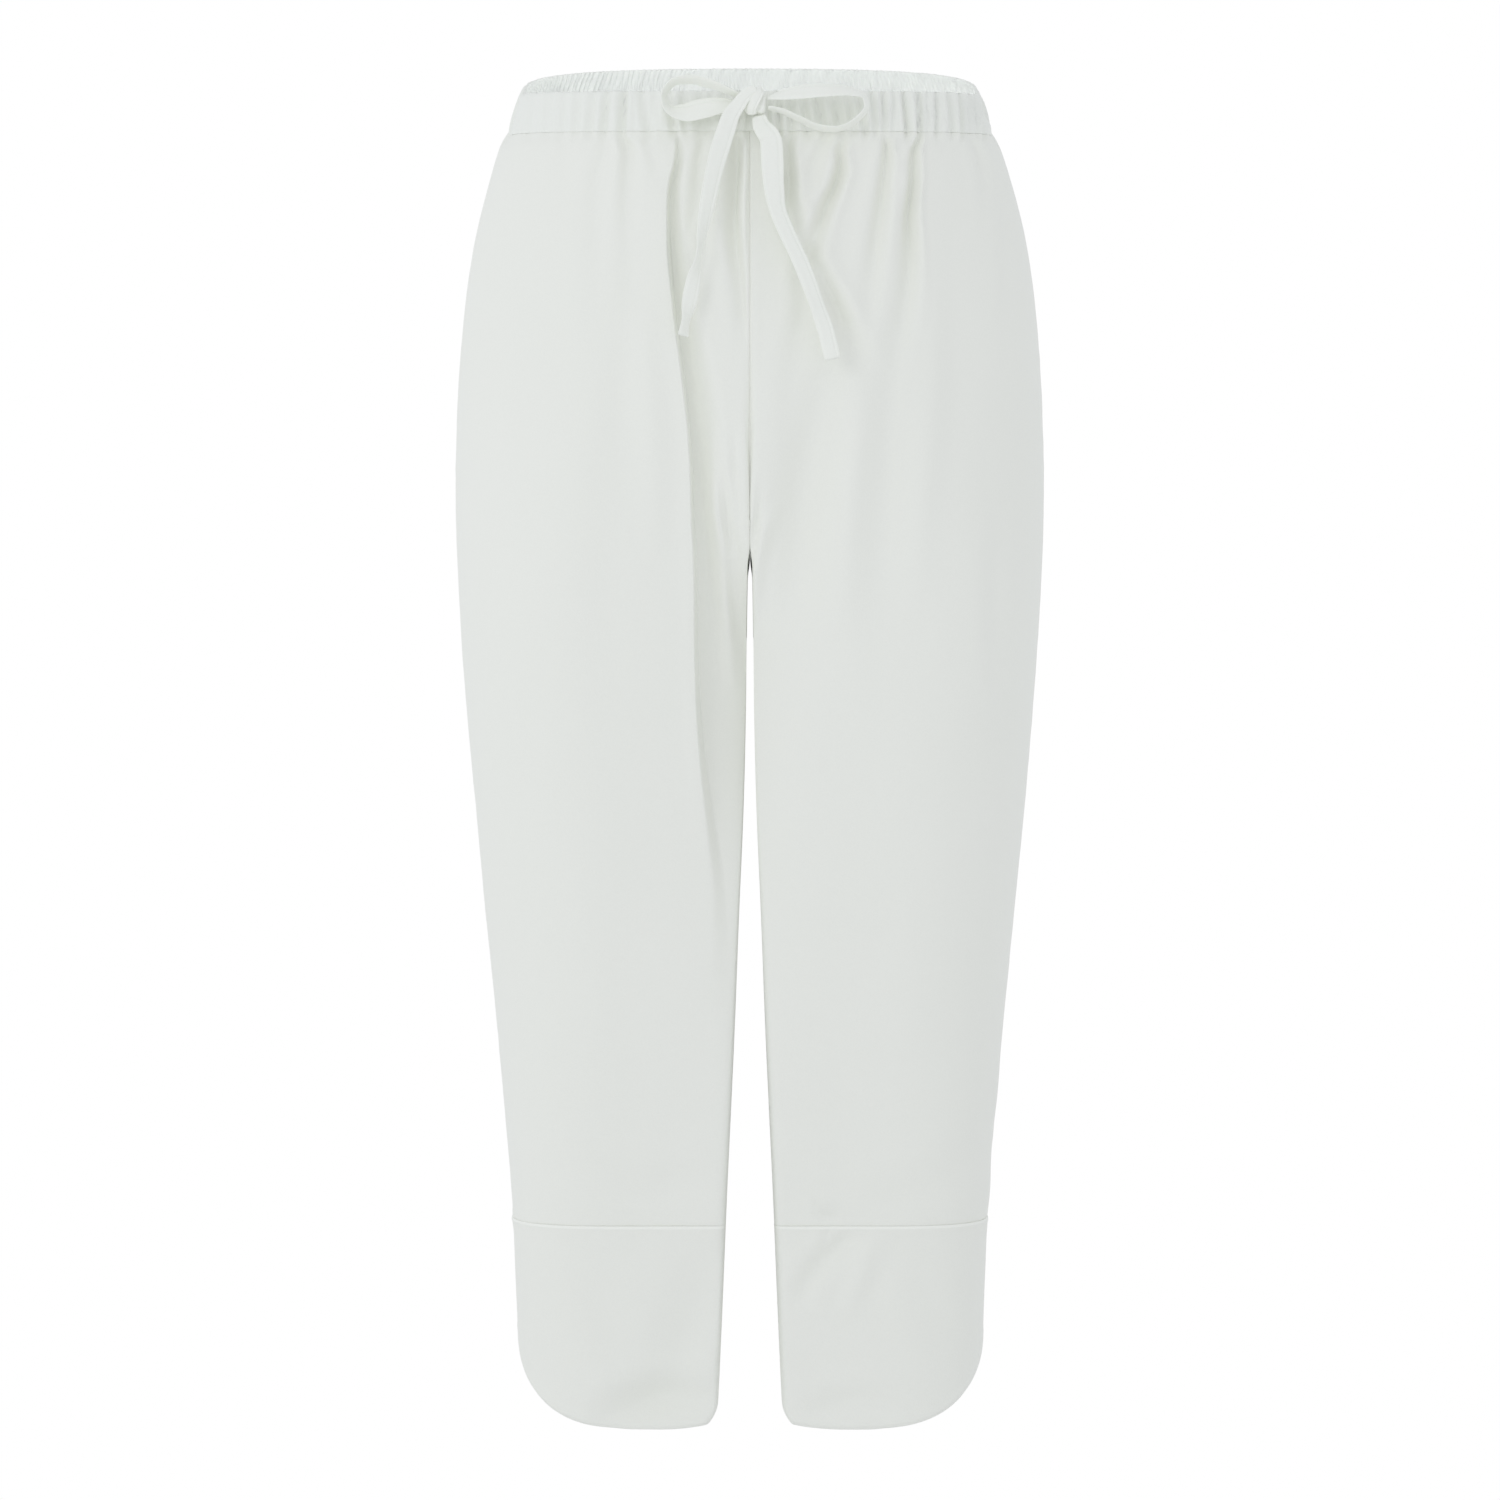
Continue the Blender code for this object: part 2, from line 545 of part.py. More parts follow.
def add_tape(name, route):
    """A flat tape along its route, turned by its lean."""
    points = route_points(route, TAPE_STEPS)
    centre = points[:, :3]
    along = np.gradient(centre, axis=0)
    along /= np.linalg.norm(along, axis=1, keepdims=True)
    depth = np.array([0.0, 1.0, 0.0]) - along * along[:, 1:2]
    depth /= np.linalg.norm(depth, axis=1, keepdims=True)
    shown = np.cross(along, depth)
    width = points[:, TAPE_COLUMNS.index("width")]
    lean = np.radians(points[:, TAPE_COLUMNS.index("lean")])[:, None]
    across = depth * np.cos(lean) + shown * np.sin(lean)
    through_tape = np.cross(along, across)
    made = bmesh.new()
    rings = []
    for k in range(len(centre)):
        half = across[k] * width[k] / 2
        thick = through_tape[k] * TAPE_WALL / 2
        crown = thick * TAPE_CROWN
        corners = (half + thick, crown, -half + thick, -half - thick, -crown, half - thick)
        rings.append([made.verts.new(centre[k] + corner) for corner in corners])
    sides = len(rings[0])
    for a, b in zip(rings, rings[1:]):
        for j in range(sides):
            made.faces.new((a[j], a[(j + 1) % sides], b[(j + 1) % sides], b[j]))
    made.faces.new(rings[0][::-1])
    made.faces.new(rings[-1])
    add_object(name, made, TAPE_COLOUR)


def add_knot():
    """The bow's knot: a rounded block whose sides the loops and ends come out of."""
    made = bmesh.new()
    bmesh.ops.create_cube(made, size=2)
    bmesh.ops.subdivide_edges(made, edges=made.edges[:], cuts=3, use_grid_fill=True)
    for vert in made.verts:
        length = (abs(vert.co.x) ** 5 + abs(vert.co.y) ** 5 + abs(vert.co.z) ** 5) ** (1 / 5)
        vert.co = [c / length * half + m for c, half, m in zip(vert.co, KNOT_HALF_SIZE, KNOT_CENTRE)]
    add_object("drawstring_knot", made, TAPE_COLOUR)


def main():
    for old in list(bpy.data.objects):
        bpy.data.objects.remove(old)
    for side, word in ((-1, "right"), (1, "left")):
        add_panel("front_" + word, side, 0)
        add_panel("back_" + word, side, 1)
        add_cuff("cuff_front_" + word, side, 0)
        add_cuff("cuff_back_" + word, side, 1)
    add_band("waistband_front", 0, FRONT_WAVES, FRONT_WAVE_HEIGHT, 2)
    add_band("waistband_back", 1, BACK_WAVES, BACK_WAVE_HEIGHT, 1)
    add_knot()
    for name, route in TAPE_ROUTES.items():
        add_tape(name, route)


main()
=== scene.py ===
"""Capri pants as worn: crepe shells with their folds, a ruched waistband, a tied tape and deep cuffs.

Lengths are millimetres until a mesh is made. x points to the wearer's left, y to the back and z up. A place
on a panel is (u, level), as in the part's source: u is 0 at the centre front or the inseam, 0.5 at the side
seam and 1 at the centre back, and level is a row's height at the side seam. Folds are laid out in the pixels
of a 1500-pixel front view, or of the same view from behind with x still to the wearer's left.
"""

import math

import bmesh
import bpy
import mathutils
import numpy as np
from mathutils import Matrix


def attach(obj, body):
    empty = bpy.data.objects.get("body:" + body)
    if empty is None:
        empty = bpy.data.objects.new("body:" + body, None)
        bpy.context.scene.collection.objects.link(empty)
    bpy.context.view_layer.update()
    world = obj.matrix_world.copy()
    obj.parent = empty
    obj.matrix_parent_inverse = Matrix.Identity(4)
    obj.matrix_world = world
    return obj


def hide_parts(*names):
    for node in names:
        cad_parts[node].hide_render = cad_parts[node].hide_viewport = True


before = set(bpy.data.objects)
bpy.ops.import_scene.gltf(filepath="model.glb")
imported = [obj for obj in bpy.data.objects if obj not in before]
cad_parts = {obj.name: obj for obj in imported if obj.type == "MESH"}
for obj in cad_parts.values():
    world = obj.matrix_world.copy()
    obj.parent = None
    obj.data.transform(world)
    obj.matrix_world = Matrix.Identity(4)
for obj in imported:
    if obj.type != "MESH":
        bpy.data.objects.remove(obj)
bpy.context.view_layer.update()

MM = 0.001
VIEW_DISTANCE = 3000.0  # from the camera to the side seams
VIEW_LEVEL = -392.5
VIEW_CENTRE = 750.0  # pixels
PIXEL = 0.62  # mm in the plane of the side seams

# Sizes of the garment
WAIST_SEAM = -12.4
CROTCH = -274.0
CUFF_SEAM = -680.0
HEM = -803.5
OUTSEAM_END = -752.0
CORNER_SWEEP = 0.28
CORNER_POWER = 1.9
BAND_HEIGHT = 24.8
BAND_TOP_HALF_WIDTH = 141.5
BAND_SEAM_HALF_WIDTH = 149.0
BAND_TOP_DEPTH = 99.0
BAND_SEAM_DEPTH = 104.0
BAND_TAPER = 1.3  # power of the band's narrowing towards its top
BAND_WALL = 2.2
FRONT_DIP = -9.6
BACK_RISE = 31.0
BACK_RISE_POWER = 0.62
DIP_FADES_AT = -160.0
CROTCH_Y = 10.0  # how far behind the side seams the crotch point lies
CROTCH_Y_FADES_AT = -480.0
SECTION_COLUMNS = ("level", "half_width", "inner", "front", "back")
SECTIONS = (
    (-12.4, 149, 0.15, 104, 104),
    (-20, 154, 0.15, 107, 108),
    (-32, 158.4, 0.15, 109.5, 112.5),
    (-48, 163, 0.15, 112, 118),
    (-72, 169, 0.15, 116, 125),
    (-102, 174.2, 0.15, 120, 131),
    (-149, 179.2, 0.15, 124, 137.5),
    (-200, 181.6, 0.15, 125, 140.5),
    (-250, 181.8, 0.10, 122, 138),
    (-274, 181, 0.30, 120, 134),
    (-281, 180.7, 1.25, 119.4, 132.6),
    (-290, 180.3, 1.45, 118.6, 130.8),
    (-307, 179.4, 1.75, 117, 127),
    (-374, 174.6, 2.45, 110, 113),
    (-436, 168.8, 4.00, 102, 103),
    (-480, 164.6, 5.95, 97, 98),
    (-557, 157, 9.10, 89, 92),
    (-622, 151.2, 12.1, 82.5, 86),
    (-680, 146.6, 14.8, 78, 82),
    (-720, 145, 16.4, 76, 80),
    (-754, 143.6, 17.8, 75, 79),
    (-803.5, 142.6, 20, 74, 78),
)
TORSO_POWER = 2.3
LEG_POWER = 2.15
CUFF_POWER = 2.6
FRONT_SQUARE = 400.0  # power of the leg's section where it faces the other leg
BACK_SQUARE = 20.0
LOW_SQUARE = 26.0  # both become this at the cuff seam
SQUARE_FADES_FROM = -330.0
INNER_FALL = 0.13  # how far the leg's face falls back at its inner edge, of its depth
FALL_FORMS = (-225.0, -340.0)  # levels between which that comes, and then goes
FALL_FADES = (-400.0, CUFF_SEAM)
INNER_HOLLOW = 1.7  # how far the side that faces the other leg is hollowed
HOLLOW_FORMS = (CROTCH - 5, CROTCH - 70)
HOLLOW_FADES = (-400.0, -600.0)
CUFF_FORM_TOP = -560.0
TORSO_TURN = 0.07
SEAM_CURVE_POWER = 2.4
FRONT_CURVE_TOP = -250.0  # where the crotch curve leaves the straight centre seams
BACK_CURVE_TOP = -215.0
LEG_FORM_TOP = -140.0  # between these levels the torso turns into two legs
LEG_FORM_LOW = -325.0
TORSO_CORNER = 0.028  # how much of the torso's row becomes the side that faces the other leg
CORNER_PLACE = 0.25  # share of a leg's half ring that faces the other leg
CROSSING_SPREAD = (0.02, 0.8)  # shares of a row between which its turn into a leg comes later
SEAM_START = 0.985  # depth where the centre seam's curve starts, of the leg's inner corner
RING_SAMPLES = 600
CORNER_SAMPLE = RING_SAMPLES // 4

# Meshes
SEAM_GAP = 0.06
WAIST_GAP = 0.06
CLOTH_THICKNESS = 0.7
CUFF_THICKNESS = 0.9
EDGE_STEPS = (0.0, 0.5, 1.1, 1.9)  # rows next to a seam, where the cloth turns in
TURN_IN = (0.9, 2.6, 6.0)  # rows of the seam allowance, inside
ROLL = 0.9  # how far the cloth sinks at a seam
WAIST_ROLL = 0.12  # shares of that at the waist seam, and on each side of the cuff seam and at the hem
CUFF_SEAM_ROLL = (0.2, 0.15)
HEM_ROLL = 1.4
INSEAM_ROLL_BREADTH = 1.1
SEAM_RIDGE = (0.22, 4.0, 2.4)  # height, distance and breadth of the soft ridge beside a seam
CUFF_LAP = 0.3  # how far the cuff's top edge stands out from the leg
LAP_FADES = (3.0, 14.0)
HEM_ROUNDING = 5.0  # how far the hem is drawn in at the legs' inner edges
HEM_LIFT = 3.0  # and how far it rises there
HEM_LIFT_REACH = 40.0
HEM_ROUNDING_WIDTH = 32.0
HEM_ROUNDING_HEIGHT = 12.6
SEAM_HIGHLIGHT_HEIGHT = 1.7  # height of the cuff's doubled edge at its seam, painted paler as a highlight on the raised seam line
CUFF_WELT = 0.45  # height of the rounded edge that the cuff's seam makes
WELT_PLACE = 1.7
WELT_BREADTH = 1.3
FRONT_COLUMNS = (12, 168)  # on the side that faces the other leg, and on the face
BACK_COLUMNS = (10, 106)
BAND_COLUMNS = (620, 1060)
CUFF_COLUMNS = 130
CUFF_ROWS = 56
CUFF_CLEAR = 3.0  # where these begin and end, from the cuff's edges
CUFF_SIDE_DENSITY = 0.3  # of the columns, on the side that faces the other leg
ROW_STRETCHES = ((3.2, -85.0, 1.7), (2.6, -246.0, 2.8), (2.0, -284.0, 1.6))  # first step, lowest level, step
LEG_ROWS = (88, 76)
LEG_CLEAR = (3.0, 3.6)
FOLD_CROWDING = 0.3  # extra columns where the folds are deep
CORNER_CROWDING = 6.0  # and at the legs' inner edges
CORNER_CROWDING_BREADTH = 1.6
CORNER_CROWDING_FORMS = (-190.0, -320.0)
SIDE_CROWDING = 2.2  # how closely the hidden side's columns draw together towards the leg's corner
EDGE_LIMIT = 0.6  # share of the hidden side that the columns next to its seam may take

# Where folds fade
START_CALM = 3.5  # distances from the inner or centre seam, the side seam, the waist seam and the cuff seam
END_CALM = 9.0
TOP_CALM = 5.0
LOW_CALM = 12.0
WAIST_SHARE = 0.35  # share of the folds that is left at the waist seam
CUFF_TOP_SHARE = 0.3  # and at the top of the cuff
CUFF_TOP_CALM = 10.0
BAND_FOLLOWS = 8.0  # how far down the front follows the gathers of the band
INNER_CALM = (1.0, 14.0)  # distances from the inner leg between which folds move the cloth sideways
INNER_CALM_LEVEL = LEG_FORM_TOP - 40
HIDDEN_CALM = (2.0, 25.0)  # distances behind the leg's corner over which folds fade
SEAM_SHOWS = (8.0, 20.0)  # widths of the hidden side over which the inseam's roll and puckers fade

# Forms of the folds
FOLD_DEPTH = 1.25  # the folds' depths below are multiplied by this
FOLD_STARTS = (30, 12)  # pixels above a fold's first row between which it begins
STROKE_DEPTH = 1.8
STROKE_MARKS = 13
STROKE_FADE = 0.8
PLEAT_CREST = 0.16  # how far a pleat's crest stands out, of its drop
PLEAT_CREST_BREADTH = 12
PLEAT_RISE_START = 0.4  # of its floor
PLEAT_CROWDING = 0.8
PLEAT_CROWDING_BREADTH = 9
CLOTH_NOISE = (  # height in mm, breadth and length in pixels, and shifts, of waves, dents and unevenness
    (0.9, 62, 210, 0.3, 0),
    (0.28, 24, 64, 0, 0.7),
    (0.05, 8, 13, 0, 0),
)
CUFF_NOISE = 0.5
PUCKER_PITCH = 7.5
PUCKER_HEIGHT = 0.28
PUCKER_REACH = 7.0
WAIST_GATHER_SIZE = (5.2, 26.0)
WAIST_GATHER_DEPTH = (0.42, 0.8)
WAIST_GATHER_REACH = (9.0, 20.0)

# Folds of the front, top to bottom: y, x, depth in mm, and the breadth of its left and its right wall.
# side -1 is the wearer's right, which the viewer sees on the left.
FRONT_FOLDS = {
    -1: (
        ((136, 569, 0.8, 6, 7), (150, 564, 0.9, 7, 8), (170, 562, 0.4, 8, 8), (190, 560, 0, 8, 8)),
        (
            (134, 606, 0.9, 5, 6), (150, 604, 1.4, 6, 7), (170, 598, 1.5, 7, 9), (200, 596, 1.4, 9, 12),
            (260, 600, 1, 12, 16), (420, 606, 0.9, 18, 20), (600, 606, 0.6, 20, 22), (760, 604, 0, 20, 22),
        ),
        (
            (134, 622, 2.1, 4, 7), (142, 624, 3.3, 4, 8), (150, 626, 3, 4, 9), (165, 627, 2.4, 5, 10),
            (190, 626, 2, 6, 12), (230, 627, 1.7, 9, 14), (300, 630, 1.5, 13, 17), (420, 622, 1.2, 16, 18),
            (520, 620, 0, 16, 18),
        ),
        ((134, 647, 1.4, 5, 5), (142, 647, 0.9, 5, 6), (165, 654, 0.6, 6, 7), (190, 648, 0, 7, 7)),
        (
            (134, 703, 1.5, 4, 5), (146, 701, 1.8, 4, 6), (162, 699, 1.8, 5, 6), (180, 697, 1.8, 5, 7),
            (200, 696, 1.2, 5, 7), (230, 692, 0.8, 6, 8), (260, 690, 0, 6, 8),
        ),
        ((138, 720, 1.8, 4, 4), (150, 717, 1.5, 4, 5), (162, 713, 0.8, 5, 6), (176, 712, 0, 5, 6)),
        (
            (180, 720, 0, 4, 5), (200, 714, 1.2, 5, 6), (230, 707, 2, 6, 8), (250, 705, 2, 6, 9),
            (275, 708, 0.6, 6, 9), (290, 709, 0, 6, 9),
        ),
        (
            (134, 738, 4.2, 7, 4), (150, 737, 5, 8, 5), (170, 737, 6, 9, 5), (200, 735, 6.2, 9, 5),
            (230, 735, 5.6, 9, 5), (255, 737, 4.2, 8, 5), (280, 741, 3, 8, 4), (310, 744, 2.4, 8, 3.5),
            (340, 746, 0.6, 8, 3), (360, 748, 0, 8, 3),
        ),
    ),
    1: (
        (
            (130, 790, 3, 9, 5), (150, 788, 4.2, 9, 5), (180, 790, 6.4, 9, 6), (200, 789, 6.2, 9, 7),
            (215, 790, 4.2, 9, 10), (235, 797, 3.4, 9, 10), (255, 804, 3, 9, 10), (285, 806, 2.6, 9, 11),
            (320, 803, 2, 10, 12), (350, 797, 1.6, 12, 14), (400, 788, 0.8, 12, 14), (450, 782, 0, 12, 14),
        ),
        (
            (132, 827, 1.3, 4, 6), (142, 822, 1.5, 5, 7), (150, 819, 1.6, 5, 8), (162, 815, 1.7, 6, 9),
            (175, 812, 1.1, 6, 9), (192, 808, 0, 6, 9),
        ),
        (
            (132, 848, 1.6, 4, 4), (142, 843, 2.6, 5, 4), (150, 841, 4, 6, 4), (160, 842, 5.2, 6, 4),
            (172, 841, 6, 7, 5), (185, 837, 6.2, 7, 5), (200, 830, 6, 8, 6), (215, 824, 5.6, 8, 6),
            (232, 818, 5, 9, 7), (250, 812, 3.8, 9, 8), (270, 806, 2, 9, 9), (292, 800, 0, 9, 9),
        ),
        (
            (240, 812, 0, 7, 7), (262, 818, 2.6, 8, 7), (280, 825, 4.6, 9, 8), (300, 834, 5.4, 10, 9),
            (320, 842, 4.6, 10, 10), (340, 850, 2.6, 10, 11), (360, 858, 1, 10, 12), (380, 864, 0, 10, 12),
        ),
        (
            (132, 886, 2.6, 4, 3), (140, 888, 3.6, 5, 3), (150, 889, 4.4, 6, 3), (165, 888, 4.2, 7, 3.6),
            (180, 886, 4.2, 7, 3.6), (200, 884, 4.2, 8, 4.2), (230, 880, 3.6, 9, 4.8),
            (250, 877, 3, 9, 5.4),
            (270, 874, 2.2, 9, 6), (295, 871, 1.2, 9, 6), (330, 868, 0.5, 9, 6), (370, 864, 0, 9, 6),
        ),
        ((130, 908, 1.6, 3, 2.5), (138, 909, 0.9, 4, 3), (150, 907, 0, 4, 3)),
        (
            (130, 921, 2.2, 4, 2.5), (140, 920, 3.4, 5, 2.5), (150, 917, 4.4, 6, 2.5),
            (165, 916, 4.8, 7, 3),
            (180, 916, 5.4, 7, 3), (200, 914, 6, 8, 3), (215, 912, 6.2, 8, 3.6), (235, 912, 6, 9, 4.2),
            (255, 912, 5.2, 10, 4.8), (275, 911, 4.2, 10, 5.4), (295, 909, 3.4, 11, 6),
            (315, 906, 2.8, 12, 6.6),
            (340, 900, 1.9, 13, 7.8), (370, 894, 1.2, 14, 9), (430, 888, 0.8, 15, 10.8),
            (560, 884, 0.7, 16, 12), (760, 880, 0, 16, 12),
        ),
        ((134, 945, 0.4, 4, 4), (150, 944, 0.2, 4, 4), (162, 944, 0, 4, 4)),
        (
            (132, 969, 1.4, 4, 4), (142, 975, 2, 5, 4), (150, 979, 2.2, 6, 4), (162, 982, 2.2, 6, 5),
            (180, 986, 1.8, 6, 6), (200, 989, 0.9, 7, 7), (225, 992, 0, 7, 7),
        ),
        (
            (156, 990, 0, 5, 5), (180, 1000, 1, 6, 5), (200, 1003, 1.3, 6, 5), (230, 1007, 1.1, 7, 6),
            (265, 1007, 0.9, 7, 6), (320, 1010, 0.5, 8, 8), (380, 1010, 0, 8, 8),
        ),
    ),
}

# Pleats of the front, where the cloth on the viewer's left laps over the cloth behind it, top to bottom:
# y, x of the crest, drop in mm, then the breadths of the wall, of the floor in its shade and of the rise.
FRONT_PLEATS = {
    -1: (
        (
            (134, 675, 2, 3, 2, 4), (150, 675, 3.6, 3, 3, 5), (165, 673, 5, 3, 4, 5),
            (180, 669, 6, 3, 5, 6),
            (200, 667, 6.6, 3, 6, 7), (230, 667, 7.2, 3, 7, 9), (255, 668, 8, 3, 8, 11),
            (290, 671, 8.6, 3, 9, 14),
            (320, 674, 9.6, 3, 10, 17), (360, 679, 10.2, 3, 12, 20), (400, 684, 10.6, 3, 14, 22),
            (440, 688, 10.8, 3, 15, 23), (479, 690, 10.8, 3, 17, 22), (517, 691, 10.6, 3, 20, 20),
            (556, 693, 12, 3, 24, 30), (594, 694, 14, 3, 32, 60), (633, 694, 15, 4, 40, 100),
            (710, 696, 15, 5, 44, 120), (767, 700, 13, 7, 44, 120), (825, 706, 8, 10, 40, 110),
            (880, 711, 4, 14, 36, 90), (950, 712, 1.6, 18, 32, 60), (1060, 712, 0, 20, 30, 40),
        ),
    ),
    1: (),
}

# Softer folds in any direction: its path as x, y, then how deep and how broad it is. A ridge is negative.
FRONT_STROKES = {
    -1: (
        (((722, 470), (728, 520), (741, 566)), 2.2, 6),
        (((733, 430), (736, 490), (743, 545)), 1.2, 4),
        (((712, 420), (716, 500), (724, 600), (733, 690)), -2, 7),
        (((560, 1150), (640, 1190), (716, 1180)), 0.9, 16),
        (((640, 300), (652, 420), (656, 560)), -1.2, 14),
    ),
    1: (
        (((778, 500), (766, 530), (757, 566), (756, 640)), -1.6, 6),
        (((760, 480), (757, 520), (753, 560)), 1, 3.5),
        (((832, 350), (816, 420), (804, 480), (796, 560), (788, 640)), 4.4, 22),
        (((846, 340), (856, 420), (850, 520), (846, 640)), -1.6, 16),
        (((926, 200), (932, 320), (926, 460), (916, 620)), -1.4, 14),
        (((1000, 500), (996, 620), (1000, 720)), 1, 10),
        (((812, 1205), (826, 1214), (842, 1215)), 1.6, 5),
        (((1040, 1090), (940, 1180), (860, 1212)), 0.8, 18),
    ),
}
CUFF_STROKES = {
    -1: (
        (((590, 1224), (596, 1236)), 0.6, 4),
        (((560, 1228), (600, 1300), (640, 1400)), 0.8, 18),
        (((640, 1440), (690, 1330), (712, 1240)), 2.2, 26),
        (((590, 1424), (660, 1400), (728, 1404)), 3.4, 17),
    ),
    1: (
        (((832, 1222), (828, 1232), (820, 1240)), 1, 4),
        (((858, 1226), (836, 1248), (812, 1276), (796, 1310)), 1.8, 10),
        (((880, 1226), (862, 1270), (842, 1320)), -1.4, 11),
        (((800, 1418), (850, 1402), (900, 1410)), 1.2, 12),
        (((900, 1238), (930, 1300), (950, 1380)), 0.9, 16),
    ),
}

# Folds of the back in its own view, in the same form as those of the front.
BACK_FOLDS = {
    -1: (
        ((100, 735, 1.8, 7, 8), (150, 729, 2.6, 8, 10), (210, 722, 1.6, 10, 13), (300, 716, 0, 12, 15)),
        ((96, 711, 1.2, 4, 5), (118, 708, 1.4, 5, 6), (150, 703, 0, 6, 7)),
        (
            (96, 688, 2.6, 6, 7), (130, 685, 3.4, 7, 8), (180, 682, 3, 8, 11), (250, 674, 1.8, 11, 15),
            (340, 668, 0.6, 14, 18), (420, 664, 0, 14, 18),
        ),
        ((98, 662, 1.4, 4, 5), (124, 660, 1.6, 5, 6), (160, 654, 0, 7, 8)),
        ((100, 641, 2.2, 6, 6), (140, 636, 2.8, 7, 8), (200, 627, 1.6, 9, 12), (290, 616, 0, 12, 15)),
        ((102, 617, 1.3, 4, 5), (130, 612, 1.2, 5, 6), (160, 606, 0, 6, 7)),
        (
            (106, 597, 2.4, 6, 6), (145, 590, 3, 7, 9), (210, 578, 2.2, 9, 13), (300, 566, 0.8, 12, 16),
            (380, 560, 0, 12, 16),
        ),
        ((112, 573, 1.2, 4, 5), (140, 566, 1, 5, 6), (170, 560, 0, 6, 7)),
        ((118, 550, 1.8, 5, 6), (160, 540, 1.8, 7, 8), (230, 528, 0.8, 9, 12), (300, 522, 0, 10, 13)),
        ((126, 524, 1, 4, 5), (160, 514, 0.8, 5, 6), (200, 506, 0, 6, 7)),
    ),
    1: (
        ((96, 772, 1.4, 5, 5), (125, 775, 1.6, 6, 6), (165, 779, 0, 7, 8)),
        (
            (98, 789, 2.2, 6, 7), (140, 791, 3, 8, 8), (200, 798, 2.2, 10, 10), (280, 806, 1, 14, 13),
            (360, 810, 0, 14, 13),
        ),
        ((96, 812, 1.3, 4, 5), (125, 815, 1.4, 5, 6), (155, 818, 0, 6, 7)),
        ((98, 832, 2, 6, 6), (140, 838, 2.6, 8, 7), (200, 848, 1.4, 12, 9), (270, 856, 0, 14, 11)),
        ((100, 854, 1.4, 4, 4), (126, 858, 1.4, 6, 5), (160, 866, 0, 7, 6)),
        (
            (102, 876, 2.4, 6, 6), (145, 883, 3.2, 9, 7), (210, 894, 2.4, 13, 9), (300, 902, 1.2, 16, 12),
            (400, 906, 0, 18, 14),
        ),
        ((104, 898, 1.2, 4, 4), (130, 903, 1.2, 6, 5), (160, 909, 0, 7, 6)),
        ((108, 922, 2.2, 6, 5), (145, 930, 2.4, 8, 7), (200, 941, 1.2, 11, 9), (270, 950, 0, 12, 10)),
        ((114, 946, 1.2, 4, 4), (140, 953, 1, 6, 5), (170, 960, 0, 7, 6)),
        ((120, 966, 1.6, 5, 4), (165, 976, 1.6, 8, 6), (230, 988, 0.7, 10, 8), (290, 994, 0, 11, 9)),
        ((128, 986, 1, 4, 4), (160, 996, 0.7, 5, 5), (200, 1004, 0, 6, 6)),
    ),
}
BACK_STROKES = {
    -1: (
        (((744, 470), (716, 520), (676, 548)), 3, 12),
        (((741, 520), (706, 572), (656, 600)), 2.2, 12),
        (((738, 570), (716, 640), (700, 730)), 2.4, 13),
        (((560, 420), (600, 520), (660, 570)), 1.6, 20),
        (((640, 640), (630, 800), (646, 960)), 2.2, 22),
        (((540, 760), (600, 800), (690, 806)), 1.3, 14),
        (((700, 860), (640, 884), (560, 872)), 1.1, 12),
        (((560, 980), (566, 1080), (590, 1180)), 1.4, 18),
        (((690, 920), (680, 1040), (684, 1160)), 1.4, 16),
    ),
    1: (
        (((756, 462), (782, 516), (828, 540)), 2.8, 12),
        (((759, 528), (792, 578), (846, 612)), 2.2, 12),
        (((764, 590), (786, 650), (802, 740)), 2.2, 12),
        (((946, 400), (906, 510), (846, 566)), 1.7, 20),
        (((860, 640), (872, 800), (858, 940)), 2.2, 22),
        (((806, 788), (880, 806), (960, 780)), 1.3, 14),
        (((800, 850), (850, 870), (930, 856)), 1, 12),
        (((938, 960), (932, 1080), (910, 1180)), 1.4, 18),
        (((810, 900), (822, 1040), (816, 1170)), 1.4, 16),
    ),
}

# Gathers across the front of the waistband: x at its top and at its seam, depth and breadth.
BAND_GATHERS = (
    (512, 506, 0.4, 5), (534, 530, 0.4, 4), (551, 547, 0.4, 4), (565, 562, 0.5, 4), (578, 575, 0.6, 4),
    (594, 590, 0.7, 4), (607, 603, 1.1, 3.5), (624, 622, 1.4, 3.5), (642, 648, 0.9, 4), (655, 652, 0.4, 4),
    (668, 675, 1.2, 4), (682, 685, 0.8, 3.5), (702, 701, 0.9, 4), (712, 708, 0.9, 4), (724, 727, 1.0, 4),
    (740, 737, 1.6, 4), (751, 746, 1.0, 3.5), (768, 769, 0.8, 3.5), (779, 779, 1.6, 4), (790, 791, 1.4, 4),
    (802, 808, 0.8, 3.5), (814, 825, 1.2, 4), (832, 842, 0.9, 4), (848, 854, 0.8, 3.5),
    (856, 865, 1.3, 3.5),
    (872, 876, 1.2, 3.5), (884, 885, 1.4, 3.5), (895, 893, 0.8, 3), (904, 908, 1.4, 3),
    (920, 921, 2.0, 3.5),
    (928, 928, 0.9, 2.6), (938, 937, 0.9, 3), (949, 953, 1.0, 3), (960, 963, 1.4, 3), (970, 970, 1.3, 2.6),
    (976, 976, 1.0, 2.4), (984, 983, 0.8, 2.4),
)
GATHER_DEPTH = 2.6
RUCHE_PITCH = 3.4
RUCHE_HEIGHT = 1.35
RUCHE_STEPS = (0.62, 1.38)  # least and most of a pitch, and of the height
RUCHE_HEIGHTS = (0.55, 1.0)
RUCHE_POWER = 0.6
FRONT_RUCHE_FROM = 440  # pixels
FRONT_RUCHE_GROWS = (880, 960)
BAND_END = 0.012  # share of the band's length over which it sinks at a side seam
BAND_END_DEPTH = 0.8
BAND_ROUNDING = (0.9, 0.95)  # depth of the rounding at the seam and at the top
